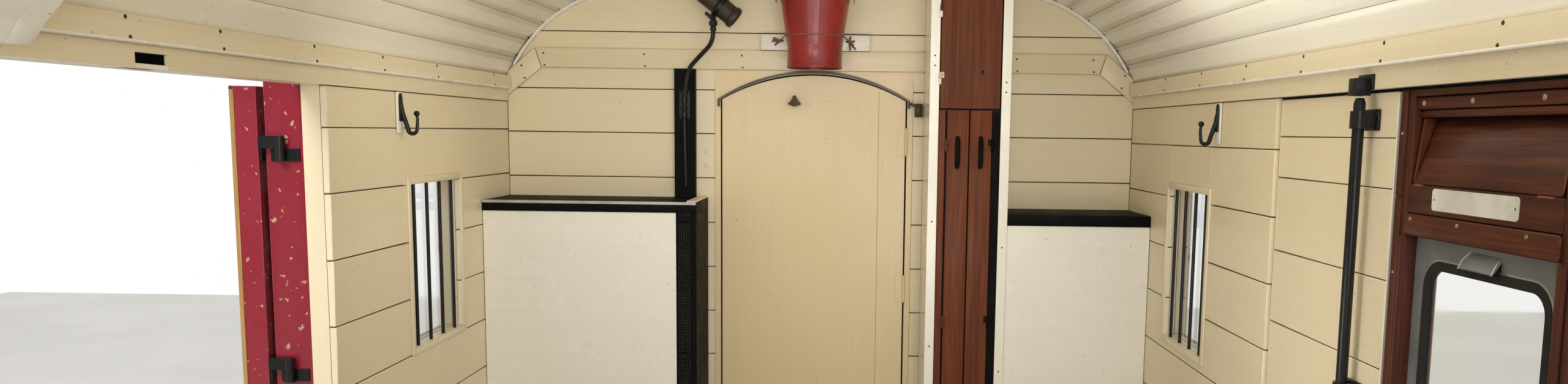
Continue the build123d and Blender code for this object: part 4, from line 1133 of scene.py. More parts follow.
batten_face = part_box("bucket_batten")[0].y
batten = like_solid("bucket_batten", 0.003, 2)
batten.done("batten_board", white_across, "white_board", replaces=("bucket_batten",))
LASH_Z = bucket_z + FOOT_H + 0.034
LASH_R = FOOT_R + 0.009
strand = []
for k in range(-12, 13):
    turn = math.radians(6.5 * k)
    z = LASH_Z + 0.0012 * math.sin(k)
    strand.append((bucket_x + LASH_R * math.sin(turn), bucket_y - LASH_R * math.cos(turn), z))
left_knot = Vector((bucket_x - 0.150, batten_face - 0.006, LASH_Z - 0.010))
right_knot = Vector((bucket_x + 0.140, batten_face - 0.006, LASH_Z - 0.012))
lashing = Form()
lashing.rod([left_knot] + strand + [right_knot], 0.0026, 6)
for knot, arms in (
    (left_knot, ((0.014, 0.001), (-0.026, 0.012), (-0.032, -0.002), (-0.020, -0.018), (-0.028, 0.006))),
    (right_knot, ((-0.014, 0.002), (0.004, 0.022), (0.022, 0.004), (0.016, -0.012), (0.026, -0.030),
                  (0.004, -0.034))),
):
    disc(lashing, knot, (0, -1, 0), 0.007, 0.009, 10)
    for x, z in arms:
        reach = Vector((x, 0, z))
        bend = [knot, knot + reach * 0.5 + Vector((0, -0.007, 0)), knot + reach]
        lashing.rod(bend, (0.003, 0.0044, 0.0036), 6)
lashing.done("bucket_lashing", twine, "black_rubber")
print("twine", round(LASH_Z - bucket_z, 3), "m above the bucket's foot")

# %% [markdown]
# ## The slanting tube
# A stout tube slants down out of the roof to a capped end with a ring of small screws. Every
# part of it is round about one slanting line, so it is a single profile turned about that line.

# %% The slanting tube
TUBE_R = 0.041
TUBE_SLANT = math.radians(38.4)
run = Vector((-math.cos(TUBE_SLANT), 0, math.sin(TUBE_SLANT)))
tube_end = Vector((-0.341, 1.70, crown_z + CROWN_R - 0.286))
tube = Form()
tube.turned([
    (0, 0.026), (TUBE_R - 0.010, 0.026), (TUBE_R - 0.009, 0.003), (TUBE_R - 0.006, 0.0),
    (TUBE_R + 0.002, 0.001), (TUBE_R + 0.003, 0.004), (TUBE_R + 0.003, 0.020), (TUBE_R + 0.001, 0.023),
    (TUBE_R - 0.001, 0.024), (TUBE_R - 0.001, 0.372), (0, 0.372),
], tube_end, run, 40)
for k in range(6):
    rim = Matrix.Rotation(math.radians(60 * k + 20), 3, run) @ run.orthogonal().normalized()
    disc(tube, tube_end + run * 0.012 + rim * (TUBE_R + 0.0025), rim, 0.004, 0.0016, 8)
tube.done("roof_pipe", dark_pipe, "cream_metal", replaces=("roof_tube",))
print("the tube ends", round(tube_end.z, 3), "m up")

# %% [markdown]
# ### Clamp and fitting
# A split band grips the tube. Its two lugs are drawn together by a pin with a wing nut, and a
# jointed fitting hangs under it for the hose. Turned rings and flattened rods give all of it.

# %% Clamp and fitting
BAND_UP = 0.081
PIN_DROP = 0.004
BAND = ((-0.002, -0.011), (0.005, -0.011), (0.007, -0.008), (0.007, 0.008), (0.005, 0.011), (-0.002, 0.011))
under = run.cross(Vector((0, 1, 0))).normalized()
if under.z > 0:
    under = -under
band = tube_end + run * BAND_UP
lug = band + under * (TUBE_R + 0.012)


def beside(y, drop=PIN_DROP):
    """A point beside the lugs, along the pin."""
    return lug + Vector((0, y, 0)) + under * drop


clamp = Form()
clamp.turned([(TUBE_R + out, along) for out, along in BAND + BAND[:1]], band, run, 36)
for y in (-0.010, 0.010):
    clamp.rod([beside(y, -0.010), beside(y, 0.012)], 0.009, 10, 0.4)
clamp.rod([beside(-0.040), beside(0.030)], 0.0042, 10)
clamp.turned([(0, -0.005), (0.010, -0.005), (0.010, 0.005), (0, 0.005)], beside(0.024), (0, 1, 0), 6)
nut = beside(-0.026)
clamp.turned([(0, -0.006), (0.009, -0.006), (0.010, 0.0), (0.007, 0.007), (0, 0.007)], nut, (0, -1, 0), 14)
for way in (-1, 1):
    tips = [nut + run * way * 0.014 + Vector((0, -0.004, 0)), nut + run * way * 0.026 + Vector((0, -0.009, 0))]
    clamp.rod([nut] + tips, (0.006, 0.008, 0.006), 10, 0.4)
exit_x, exit_z = -0.43305, tube_end.z + 0.6211 * BAND_UP - 0.7837 * 0.046 - 0.062
clamp.turned([
    (0, 0.0), (0.0105, 0.0), (0.0125, 0.003), (0.0125, 0.012), (0.010, 0.015), (0.010, 0.019), (0.016, 0.021),
    (0.0175, 0.026), (0.0175, 0.034), (0.016, 0.039), (0.011, 0.042), (0.009, 0.050), (0.012, 0.053),
    (0.012, 0.066), (0, 0.066),
], (exit_x, 1.70, exit_z), (0, 0, 1), 18)
joint_pin = [(0, -0.021), (0.007, -0.021), (0.009, -0.018), (0.009, 0.018), (0.007, 0.021), (0, 0.021)]
clamp.turned(joint_pin, (exit_x, 1.70, exit_z + 0.030), (0, 1, 0), 14)
clamp.done("tube_clamp", black_iron, "brass_fitting", replaces=("hose_fittings",))
print("hose leaves its fitting at height", round(exit_z, 3))

# %% [markdown]
# ### The hose
# A thin hose hangs from the fitting in one easy bend down to the black post. It is the one soft
# thing here, so it stays a curve. The curve has the same points as the route of its solid, which
# keeps both in one place.

# %% The hose
HOSE_R = 0.009
post_x, post_y = -0.568, 1.8107
hose_end = exit_z - 0.336
route = [
    (exit_x, 1.70, exit_z), (exit_x, 1.70, exit_z - 0.045), (exit_x - 0.06, 1.75, exit_z - 0.095),
    (post_x, post_y, exit_z - 0.165), (post_x, post_y, hose_end),
]
line = bpy.data.curves.new("hose", "CURVE")
line.dimensions = "3D"
strand = line.splines.new("NURBS")
strand.points.add(len(route) - 1)
for point, place in zip(strand.points, route):
    point.co = (*place, 1.0)
strand.order_u = 3
strand.use_endpoint_u = True
strand.resolution_u = 24
line.bevel_depth = HOSE_R
line.bevel_resolution = 5
line.use_fill_caps = True
line.materials.append(rubber)
hose = bpy.data.objects.new("hose", line)
bpy.context.scene.collection.objects.link(hose)
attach(hose, MAIN_BODY)
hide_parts("corner_hose")
print("hose", 2 * HOSE_R, "m thick")

# %% [markdown]
# ### The couplings on the post
# Four turned nuts on a small plate take the hose's lower end.

# %% The couplings on the post
couplings = Form()
for height, tall, radius in (
    (-0.012, 0.026, 0.0135), (0.020, 0.012, 0.0155), (0.045, 0.030, 0.0125), (0.085, 0.012, 0.0145),
):
    flank = [(radius, 0.002), (radius, tall - 0.002)]
    nut = [(0, 0), (radius - 0.002, 0)] + flank + [(radius - 0.002, tall), (0, tall)]
    couplings.turned(nut, (post_x, post_y, hose_end + height), steps=10)
couplings.box((post_x - 0.024, post_x + 0.024), (1.812, 1.8197), (hose_end - 0.018, hose_end + 0.10), 0.002)
for x in (-0.017, 0.017):
    for z in (-0.008, 0.090):
        screw(couplings, (post_x + x, 1.812, hose_end + z), (0, -1, 0), 0.004, any_turn())
elbow = [(post_x, post_y, hose_end - 0.010), (post_x, post_y, hose_end - 0.05)]
couplings.rod(elbow + [(post_x + 0.004, 1.816, hose_end - 0.30)], 0.0075, 10)
couplings.done("post_couplings", black_iron, "brass_fitting")
print("four nuts on the post")

# %% [markdown]
# ## Coat hooks
# Each side wall has a cast coat hook on a cream backing strip: a back plate with a domed top, a
# tapering arm that drops, turns up again and ends in a ball. A rod along a path of points, with
# a radius for each point, gives such an arm.

# %% Coat hooks
HOOK_Y = 0.72
STRIP_T = 0.006
PLATE_FRONT = 0.012
hooks = Form()
strips = Form()
shield = [(HOOK_Y - 0.011, 1.862), (HOOK_Y + 0.011, 1.862), (HOOK_Y + 0.011, 1.935), (HOOK_Y + 0.007, 1.948),
          (HOOK_Y, 1.952), (HOOK_Y - 0.007, 1.948), (HOOK_Y - 0.011, 1.935)]
ball = [(0.0095 * math.sin(math.pi * k / 8), -0.0095 * math.cos(math.pi * k / 8)) for k in range(9)]
taper = [0.006, 0.0075, 0.0075] + [0.0075 - 0.0002 * k for k in range(11)] + [0.0052, 0.0048, 0.0045]
for side in (-1, 1):
    face = side * WALL
    hooks.slab(shield, 0, *sorted((face - side * STRIP_T, face - side * PLATE_FRONT)), 0.002, 2)
    path = [(face - side * out, HOOK_Y, z) for out, z in ((0.0095, 1.92), (0.013, 1.89), (0.026, 1.850))]
    for k in range(11):
        angle = math.pi * k / 10
        out, up = 0.030 + 0.014 * (1 - math.cos(angle)), 1.836 - 0.013 * math.sin(angle)
        path.append((face - side * out, HOOK_Y, up))
    tip = face - side * 0.060
    path += [(tip, HOOK_Y, 1.852), (tip - side * 0.001, HOOK_Y, 1.870), (tip + side * 0.001, HOOK_Y, 1.882)]
    hooks.rod(path, taper, 10)
    hooks.turned(ball, (tip + side * 0.001, HOOK_Y, 1.887), steps=14)
    for z in (1.935, 1.875):
        screw(hooks, (face - side * PLATE_FRONT, HOOK_Y, z), (-side, 0, 0), 0.004, any_turn())
    strips.box(across(side, WALL, WALL - STRIP_T), (HOOK_Y - 0.022, HOOK_Y + 0.022), (1.825, 1.956), 0.002, 2)
hooks.done("coat_hook_castings", black_iron, "black_iron", replaces=("coat_hooks",))
strips.done("hook_backing_strips", white_upright, "cream_board")
print("hooks at y", HOOK_Y)

# %% [markdown]
# ## Peg and catch at the gangway door
# The gangway door has a small bell-shaped bronze peg near its top, which swings with it. Beside
# the door, on the wall, a bronze catch with a beaked latch holds it. Both outlines are drawn
# once as seen from the front and carried back, which keeps their edges crisp.

# %% Peg and catch
PEG = (-0.107, END_Y, 1.972)
peg = Form()
disc(peg, PEG, (0, -1, 0), 0.013, 0.004, 16)
stem = ((0, 0), (0.02, 0.001), (0.036, -0.001), (0.046, 0.002))
peg.rod([(PEG[0], END_Y - out, PEG[2] + up) for out, up in stem], (0.009, 0.0075, 0.007, 0.008), 12)
half = [(0.004, 0.023), (0.008, 0.018), (0.010, 0.006), (0.014, -0.001), (0.024, -0.007), (0.027, -0.011),
        (0.025, -0.016), (0.008, -0.017), (0.008, -0.022)]
bell = [(PEG[0] + x, PEG[2] + z) for x, z in half] + [(PEG[0] - x, PEG[2] + z) for x, z in reversed(half)]
peg.slab(bell, 1, END_Y - 0.056, END_Y - 0.034, 0.003, 2)
peg.done("door_bell_peg", bronze, "brass_fitting", "gangway_door", ("end_door_hook",))

catch = Form()
catch.box((0.398, 0.430), (1.824, END_Y), (1.912, 1.968), 0.003, 2)
catch.box((0.402, 0.424), (1.818, 1.826), (1.918, 1.966), 0.002, 2)
latch = [(0.370, 1.9625), (0.379, 1.971), (0.387, 1.970), (0.396, 1.964), (0.406, 1.969), (0.406, 1.954),
         (0.392, 1.953), (0.383, 1.961)]
catch.slab(latch, 1, 1.806, 1.819, 0.002, 2)
for z in (1.930, 1.952):
    screw(catch, (0.412, 1.818, z), (0, -1, 0), 0.004, any_turn())
catch.done("door_catch", bronze, "brass_fitting")
print("peg", round(PEG[2] - FLOOR, 3), "m above the floor")

# %% [markdown]
# ## Keeper and slot for the bolts
# The bolt of the right doorway goes up into a black staple on the lintel. The lintel of the
# left doorway has a slot instead. Its hole is already in the solid, and thin black sheets line
# it as painted shade, so that it reads as a hole and not as a pale dent. Thin white rims finish
# the lintels' lower edges, whiter than the cream round them in part as a painted highlight, and
# a black strip in the gap over the right leaves is painted shade.

# %% Keeper, slot and rims
BOLT_X = 1.297
BOLT_Y = FAR_JAMB - 0.006 - 0.672 + 0.120
BOLT_R = 0.013
keeper = Form()
keeper_z = (LINTEL - 0.014, LINTEL + 0.026)
keeper.box((1.306, 1.312), (BOLT_Y - 0.036, BOLT_Y + 0.036), (LINTEL - 0.001, LINTEL + 0.034), 0.0015, 2)
for way in (-1, 1):
    cheek = sorted((BOLT_Y + way * (BOLT_R + 0.001), BOLT_Y + way * (BOLT_R + 0.009)))
    keeper.box((BOLT_X - BOLT_R - 0.005, 1.312), cheek, keeper_z, 0.002, 2)
bridge = (BOLT_Y - BOLT_R - 0.009, BOLT_Y + BOLT_R + 0.009)
keeper.box((BOLT_X - BOLT_R - 0.006, BOLT_X - BOLT_R - 0.001), bridge, keeper_z, 0.002, 2)
for way in (-1, 1):
    screw(keeper, (1.306, BOLT_Y + way * 0.029, LINTEL + 0.018), (-1, 0, 0), 0.004, 1.0)
keeper.done("bolt_keeper", black_iron, "black_iron", replaces=("catch_and_keeper",))

slot_mid = 2 * middle_y - BOLT_Y
slot_low, slot_high = slot_mid - 0.0538, slot_mid + 0.0538
slot_x, slot_back, slot_z = (-1.352, -1.3195), (-1.352, -1.3508), (LINTEL + 0.0005, LINTEL + 0.0325)
# Painted shade: thin black sheets line the slot so that its inside reads dark.
lining = Form()
lining.box(slot_x, (slot_low, slot_high), (LINTEL + 0.0312, LINTEL + 0.0325))
lining.box(slot_back, (slot_low, slot_high), slot_z)
for y in (slot_low, slot_mid + 0.0525):
    lining.box(slot_x, (y, y + 0.0013), slot_z)
lining.done("bolt_slot_painted_shade", black_paint, "black_iron")

# Painted highlight in part: white rims, brighter than the cream, run along the lintels' lower edges.
rims = Form().use(white_along)
for side in (-1, 1):
    rim_z = (LINTEL - 0.0004, LINTEL + 0.010)
    rims.box(across(side, WALL - 0.004, WALL + 0.008), (NEAR_JAMB, FAR_JAMB), rim_z, 0.002, 2)
# Painted shade: a black strip fills the gap over the right leaves under the lintel.
rims.use(black_paint)
gap_y = (NEAR_JAMB + 0.001, FAR_JAMB - 0.001)
rims.box((WALL + 0.014, OUTSIDE - 0.01), gap_y, (LINTEL - 0.0052, LINTEL + 0.001))
rims.done("lintel_rims_highlight_and_gap_shade", white_along, "white_board")
print("slot", round(slot_high - slot_low, 3), "m long")

# %% [markdown]
# ## The gangway door's stop and joint
# The arched door closes against a stop, and the stop is black so that the gap round the door
# shows as a dark line of painted shade. The stop is a flat frame between two arches, one a little
# larger than the door and one a little smaller. The door is made of wide boards: one dark joint
# line shows on it. Two plugs in the wall fill old holes.

# %% The gangway door's stop and joint
DOOR_X = -0.027
DOOR_HALF = 0.387
DOOR_FOOT = FLOOR + 0.008
DOOR_SPRING, DOOR_CROWN = FLOOR + 1.777, FLOOR + 1.8798


def door_arch(grow):
    """The gangway door's outline, grown by a distance, as (x, z) points."""
    half_wide = DOOR_HALF + grow
    rise = DOOR_CROWN - DOOR_SPRING
    radius = (DOOR_HALF ** 2 + rise ** 2) / (2 * rise) + grow
    middle = DOOR_CROWN + grow - radius
    lean = math.asin(half_wide / radius)
    angles = [lean * k / 12 for k in range(-12, 13)]
    arch = [(DOOR_X + radius * math.sin(angle), middle + radius * math.cos(angle)) for angle in angles]
    return [(DOOR_X - half_wide, DOOR_FOOT - grow)] + arch + [(DOOR_X + half_wide, DOOR_FOOT - grow)]


# Painted shade: the stop is black so that the gap round the door reads as a dark line.
stop = Form()
stop.hoop(door_arch(0.0065), door_arch(-0.009), 1, END_Y + 0.0465, END_Y + 0.058)
stop.done("gangway_door_stop_shade", black_paint, "black_iron")
joint = Form()
joint.box((0.2464, 0.2476), (END_Y - 0.0004, END_Y + 0.001), (FLOOR + 0.01, FLOOR + 1.815))
joint.done("gangway_door_joint", olive_bead, "black_iron", "gangway_door")
plugs = Form()
for z in (1.755, 1.700):
    disc(plugs, (-0.478, END_Y, z), (0, -1, 0), 0.013, 0.0016, 20)
    disc(plugs, (-0.478, END_Y - 0.0012, z), (0, -1, 0), 0.0075, 0.001, 16)
plugs.done("wall_plugs", cream_across, "cream_board")
print("gangway door", 2 * DOOR_HALF, "m wide")

# %% [markdown]
# ## Cupboard
# The tall cupboard has white gloss posts, one mahogany door above and a pair below. Its face
# frame is part mahogany and part black paint, and the black in its gaps is painted shade. Each
# door is a piece of its own body, so that it swings. A small hinge has two halves: the flap and
# knuckle on the door ride with the door, and the half on the frame stays.

# %% Keyholes and small hinges
FRONT_Y = 1.49
DOOR_T = 0.022
PIN_Y = 1.484
HINGE_HALF = 0.024


def key_plate(form, x, y, z):
    """A small keyhole: a dark hole and slit."""
    form.use(black_paint)
    disc(form, (x, y, z + 0.003), (0, -1, 0), 0.0042, 0.0006, 10)
    form.box((x - 0.0018, x + 0.0018), (y - 0.0006, y + 0.001), (z - 0.010, z + 0.002))
    return form


def small_leaf(form, pin_x, side, heights):
    """The door's half of each small hinge: a flap, its knuckle and a screw."""
    knuckle = [(0, 0.0006), (0.005, 0.0006), (0.005, 0.022), (0.004, HINGE_HALF), (0, HINGE_HALF)]
    for z, finish in heights:
        form.use(finish)
        form.box(sorted((pin_x, pin_x - side * 0.016)), (1.487, FRONT_Y), (z + 0.0006, z + HINGE_HALF), 0.0005)
        form.turned(knuckle, (pin_x, PIN_Y, z), steps=12)
        form.use(steel_screws)
        screw(form, (pin_x - side * 0.0105, 1.487, z + 0.013), (0, -1, 0), 0.0026, any_turn(), 0.0006)


print("a small hinge is", 2 * HINGE_HALF, "m tall")

# %% [markdown]
# ### The surround and the upper door
# The surround is nine strips with narrow gaps between them, wood or black. The thin black strips
# in the gaps round the doors, and the black one down the right side, are painted shade. The upper
# door is two boards with a pale seam between them, and has the keyhole.

# %% The surround and the upper door
LOWER_TOP = 1.936
LOWER_FOOT = 0.2935
UPPER_FOOT = 1.938
cup_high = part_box("cupboard_upper_door")[1]
face_low, face_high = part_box("cupboard_face_frame")
surround = Form()
# Painted shade: the black strip down the right side and the thin black strips in the gaps round the doors.
for left, right, foot, top, finish in (
    (face_low.x, 0.476, face_low.z, face_high.z, door_wood),
    (0.714, face_high.x, face_low.z, face_high.z, black_paint),
    (0.476, 0.5005, face_low.z, LOWER_TOP, door_wood),
    (0.5010, 0.5062, face_low.z, LOWER_TOP, black_paint),
    (0.6845, 0.714, face_low.z, LOWER_TOP, black_paint),
    (0.476, 0.714, face_low.z, LOWER_FOOT, black_paint),
    (0.476, 0.714, LOWER_TOP + 0.0015, 1.9415, black_paint),
    (0.476, 0.714, cup_high.z + 0.0015, face_high.z, black_paint),
    (0.5935, 0.5965, LOWER_FOOT, LOWER_TOP, black_paint),
):
    surround.use(finish)
    surround.box((left, right), (FRONT_Y + 0.001, FRONT_Y + 0.020), (foot, top), 0.0008)
surround.done("cupboard_surround", black_paint, "black_board", replaces=("cupboard_face_frame",))

upper = Form().use(door_wood)
for x in ((0.478, 0.541), (0.5425, 0.712)):
    upper.box(x, (FRONT_Y, FRONT_Y + DOOR_T), (1.943, cup_high.z), 0.0012)
upper.use(seam_wood)
upper.box((0.5405, 0.543), (FRONT_Y - 0.0002, FRONT_Y + 0.020), (1.944, cup_high.z - 0.001), 0.0002)
upper_height = cup_high.z + 0.005 - UPPER_FOOT
upper_hinges = ((UPPER_FOOT + 0.25 * upper_height, cream_metal), (UPPER_FOOT + 0.78 * upper_height, door_wood))
small_leaf(upper, 0.4755, -1, upper_hinges)
key_plate(upper, 0.640, FRONT_Y, 2.085)
upper.done("upper_door_panel", door_wood, "mahogany", "cupboard_top_door", ("cupboard_upper_door",))
print("upper door", round(cup_high.z - 1.943, 3), "m tall")

# %% [markdown]
# ### The lower doors and their pulls
# The two lower doors mirror each other, so one loop makes both. A pull is a flattened rod that
# swells towards its middle, on two turned pillars.

# %% The lower doors and their pulls
lower_hinges = (0.400, 1.100, 1.800)
pull_low, pull_high = 1.71, 1.836
pull_arc = ((pull_low + 0.004, 0.012), (pull_low + 0.02, 0.015), ((pull_low + pull_high) / 2, 0.0155),
            (pull_high - 0.02, 0.015), (pull_high - 0.004, 0.012))
pull_radii = (0.0075, 0.0095, 0.0100, 0.0095, 0.0075)
pillar = [(0, -0.016), (0.0055, -0.016), (0.0055, -0.003), (0.0085, -0.001), (0.0085, 0.0005), (0, 0.0005)]
for node, body, left, right, side, pin_x, finish in (
    ("cupboard_left_door", "cupboard_door_left", 0.507, 0.5925, -1, 0.5045, door_wood),
    ("cupboard_right_door", "cupboard_door_right", 0.5975, 0.683, 1, 0.6855, black_paint),
):
    door = Form().use(door_wood)
    door.box((left, right), (FRONT_Y, FRONT_Y + DOOR_T), (0.295, LOWER_TOP), 0.002, 2)
    small_leaf(door, pin_x, side, [(z, finish) for z in lower_hinges])
    door.use(black_paint)
    middle = (left + right) / 2
    door.rod([(middle, FRONT_Y - out, z) for z, out in pull_arc], pull_radii, 12, 0.5)
    for z in (pull_low + 0.007, pull_high - 0.007):
        door.turned(pillar, (middle, FRONT_Y, z), (0, 1, 0), 14)
    door.done(node + "_panel", door_wood, "mahogany", body, (node,))

frame_leaves = Form()
knuckle = [(0, -HINGE_HALF), (0.004, -HINGE_HALF), (0.005, -0.022), (0.005, -0.0006), (0, -0.0006)]
for pin_x, side, heights, finish in (
    (0.4755, -1, [z for z, _ in upper_hinges], white_upright),
    (0.5045, -1, lower_hinges, door_wood),
    (0.6855, 1, lower_hinges, black_paint),
):
    frame_leaves.use(finish)
    for z in heights:
        flap = sorted((pin_x, pin_x + side * 0.016))
        frame_leaves.box(flap, (1.4875, 1.4915), (z - HINGE_HALF, z - 0.0006), 0.0005)
        frame_leaves.turned(knuckle, (pin_x, PIN_Y, z), steps=12)
frame_leaves.done("cupboard_hinge_halves", white_upright, "white_board", replaces=("cupboard_hinges",))
dots = Form()
for z in (2.046, 2.008, 1.40, 0.9):
    disc(dots, (0.735, FRONT_Y, z), (0, -1, 0), 0.0034, 0.0008, 10)
    disc(dots, (0.455, FRONT_Y, z + 0.1), (0, -1, 0), 0.0034, 0.0008, 10)
dots.done("post_nail_heads", steel_screws, "black_iron")
print("each pull is", round(pull_high - pull_low, 3), "m long")

# %% [markdown]
# ## Lockers
# The left locker has a thick black top with a worn metal strip on its front edge and a white
# front. The right one is plain. All are square boards, so each is a block with eased edges.

# %% Lockers
left_low, left_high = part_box("locker_left_top")
locker_z = (FLOOR, left_low.z)
top = Form().use(black_paint)
top.box((left_low.x, left_high.x), (left_low.y, left_high.y), (left_low.z, left_high.z), 0.002, 2)
top.use(silver_strip)
strip_z = (left_high.z - 0.010, left_high.z + 0.0012)
top.box((left_low.x + 0.001, left_high.x - 0.001), (left_low.y - 0.0015, left_low.y + 0.012), strip_z, 0.0008)
for number in range(8):
    spot = (left_low.x + 0.06 + number * 0.105, left_low.y - 0.0015, left_high.z - 0.005)
    screw(top, spot, (0, -1, 0), 0.0024, 0.5, 0.0004)
top.use(cream_across)
top.box((-0.515, left_high.x + 0.0005), (1.50, 1.84), (left_high.z, left_high.z + 0.006), 0.002)
top.done("left_worktop", black_paint, "black_board", replaces=("locker_left_top",))

case = Form().use(white_across)
case.box((left_low.x, -0.556), (1.496, 1.514), locker_z, 0.0015)
case.use(black_paint)
case.box((-0.493, left_high.x), (1.496, END_Y - 0.0003), locker_z, 0.002)
for x in ((-0.556, -0.550), (-0.499, -0.493)):
    case.box(x, (1.498, 1.520), locker_z, 0.001)
case.done("left_locker_case", white_across, "white_board", replaces=("locker_left_box",))
for node, edge, steps, name, finish, slot in (
    ("locker_right_top", 0.003, 2, "right_worktop", black_paint, "black_board"),
    ("locker_right_front", 0.0015, 1, "right_locker_front", white_across, "white_board"),
):
    like_solid(node, edge, steps).done(name, finish, slot, replaces=(node,))
print("left locker top", round(left_high.z - FLOOR, 3), "m above the floor")

# %% [markdown]
# ### The grille
# The left locker ends in a narrow grille of punched sheet. A picture of holes would stay flat,
# so the holes are real: each one is a ring of eight faces between a round rim and a square
# edge, laid out in a loop. The squares are joined, and a modifier gives the sheet thickness.

# %% The grille
HOLE_R, PITCH = 0.0034, 0.0102
GRILLE_Y = 1.503
columns = 5
rows = int((left_low.z - 0.21) / PITCH)
mesh = Form()
for column in range(columns):
    for row in range(rows):
        x0, z0 = -0.550 + column * PITCH, 0.205 + row * PITCH
        cx, cz = x0 + PITCH / 2, z0 + PITCH / 2
        x1, z1 = x0 + PITCH, z0 + PITCH
        angles = [math.pi * (2 * k - 1) / 8 for k in range(8)]
        rim = [(cx + HOLE_R * math.cos(angle), cz + HOLE_R * math.sin(angle)) for angle in angles]
        edge = [(x1, cz), (x1, z1), (cx, z1), (x0, z1), (x0, cz), (x0, z0), (cx, z0), (x1, z0)]
        inner = [mesh.mesh.verts.new((x, GRILLE_Y, z)) for x, z in rim]
        outer = [mesh.mesh.verts.new((x, GRILLE_Y, z)) for x, z in edge]
        for k in range(8):
            n = (k + 1) % 8
            mesh.face((outer[k], outer[n], inner[n], inner[k]))
bmesh.ops.remove_doubles(mesh.mesh, verts=mesh.mesh.verts, dist=0.00005)
grille = mesh.done("locker_grille", black_paint, "black_iron")
thick = grille.modifiers.new("sheet", "SOLIDIFY")
thick.thickness = 0.0015
print("grille with", columns * rows, "holes")

# %% [markdown]
# ## The side doors
# Each doorway has two leaves: a boarded one with a long bolt, and one with a drop light. They
# are drawn once as they hang closed on the right. The left pair is the same pair turned half
# round and folded back along the outside, by the same angle as its joints allow. One drawing
# with two places keeps both doorways alike.

# %% The leaves' places
DOOR_FACE = OUTSIDE - 0.07
LEAF_FOOT, LEAF_TOP = 0.166, LINTEL - 0.006
half_round = Matrix.Translation((0, 2 * middle_y, 0)) @ Matrix.Rotation(math.pi, 4, "Z")


def folded(hinge_y, way):
    """Carries a leaf from closed on the right to folded back on the left."""
    pin = Matrix.Translation((PIN_X, hinge_y, 0))
    return half_round @ pin @ Matrix.Rotation(way * LEAF_OPEN, 4, "Z") @ pin.inverted()


closed = Matrix.Identity(4)
boarded_places = {"right": closed, "left": folded(FAR_JAMB, 1)}
droplight_places = {"right": closed, "left": folded(NEAR_JAMB, -1)}
outside_paint = {"right": crimson_boards, "left": crimson_worn}
print("leaves", round(LEAF_TOP - LEAF_FOOT, 3), "m tall")

# %% [markdown]
# ### The boarded leaves
# Inside, a boarded leaf shows ten level boards with a white strip down its free edge. Outside
# it is crimson, with rails and stiles laid over a flat sheet.

# %% The boarded leaves
RAIL = (OUTSIDE - 0.006, OUTSIDE)
leaf_far = FAR_JAMB - 0.006
leaf_near = leaf_far - 0.672
leaf_courses = (LEAF_TOP, 1.850, 1.738, 1.535, 1.334, 1.133, 0.932, 0.731, 0.530, 0.329, LEAF_FOOT)


def leaf_boards():
    """The inside of a boarded leaf: its boards and the strip on its free edge."""
    boards = Form().use(cream_along)
    for top, foot in zip(leaf_courses, leaf_courses[1:]):
        x = (DOOR_FACE + chance.uniform(0, BOARD_SHIFT), DOOR_FACE + 0.02)
        boards.box(x, (leaf_near + 0.010, leaf_far), (foot + JOINT * 0.7, top - JOINT * 0.7), 0.0018)
    boards.use(white_upright)
    strip_y = (leaf_near + 0.004, leaf_near + 0.0095)
    strip_z = (LEAF_FOOT + 0.002, LEAF_TOP - 0.002)
    return boards.box((DOOR_FACE + 0.001, DOOR_FACE + 0.014), strip_y, strip_z, 0.001)


def boarded_outside():
    """The outside of a boarded leaf: a sheet with rails and stiles on it."""
    outside = Form()
    sheet = [(DOOR_FACE + 0.02, leaf_near + 0.010), (DOOR_FACE + 0.02, leaf_far), (OUTSIDE - 0.004, leaf_far),
             (OUTSIDE - 0.004, leaf_near + 0.001)]
    outside.slab(sheet, 2, LEAF_FOOT, LEAF_TOP, 0.0015)
    outside.box(RAIL, (leaf_near, leaf_far), (LEAF_FOOT, LEAF_FOOT + 0.11), 0.002)
    for z in ((LEAF_TOP - 0.07, LEAF_TOP), (1.03, 1.10), (1.36, 1.42)):
        outside.box(RAIL, (leaf_near, leaf_far), z, 0.003, 2)
    for y in ((leaf_near, leaf_near + 0.07), (leaf_far - 0.07, leaf_far)):
        outside.box((OUTSIDE - 0.006, OUTSIDE - 0.0005), y, (LEAF_FOOT, LEAF_TOP), 0.003, 2)
    return outside


print("boarded leaf", round(leaf_far - leaf_near, 3), "m wide, with", len(leaf_courses) - 1, "boards")

# %% [markdown]
# ### The long bolts
# An upright rod runs nearly the whole height of a boarded leaf, in three screwed straps, with a
# bent knob to lift it. A strap is one outline seen from above: up one side of the rod, over it
# and down again, carried along the height.

# %% The long bolts
STRAP_GAP, STRAP_OUT = BOLT_R + 0.0015, BOLT_R + 0.0075
BOLT_FOOT, BOLT_LONG = 0.46, 1.480
strap_foot = DOOR_FACE - 0.004


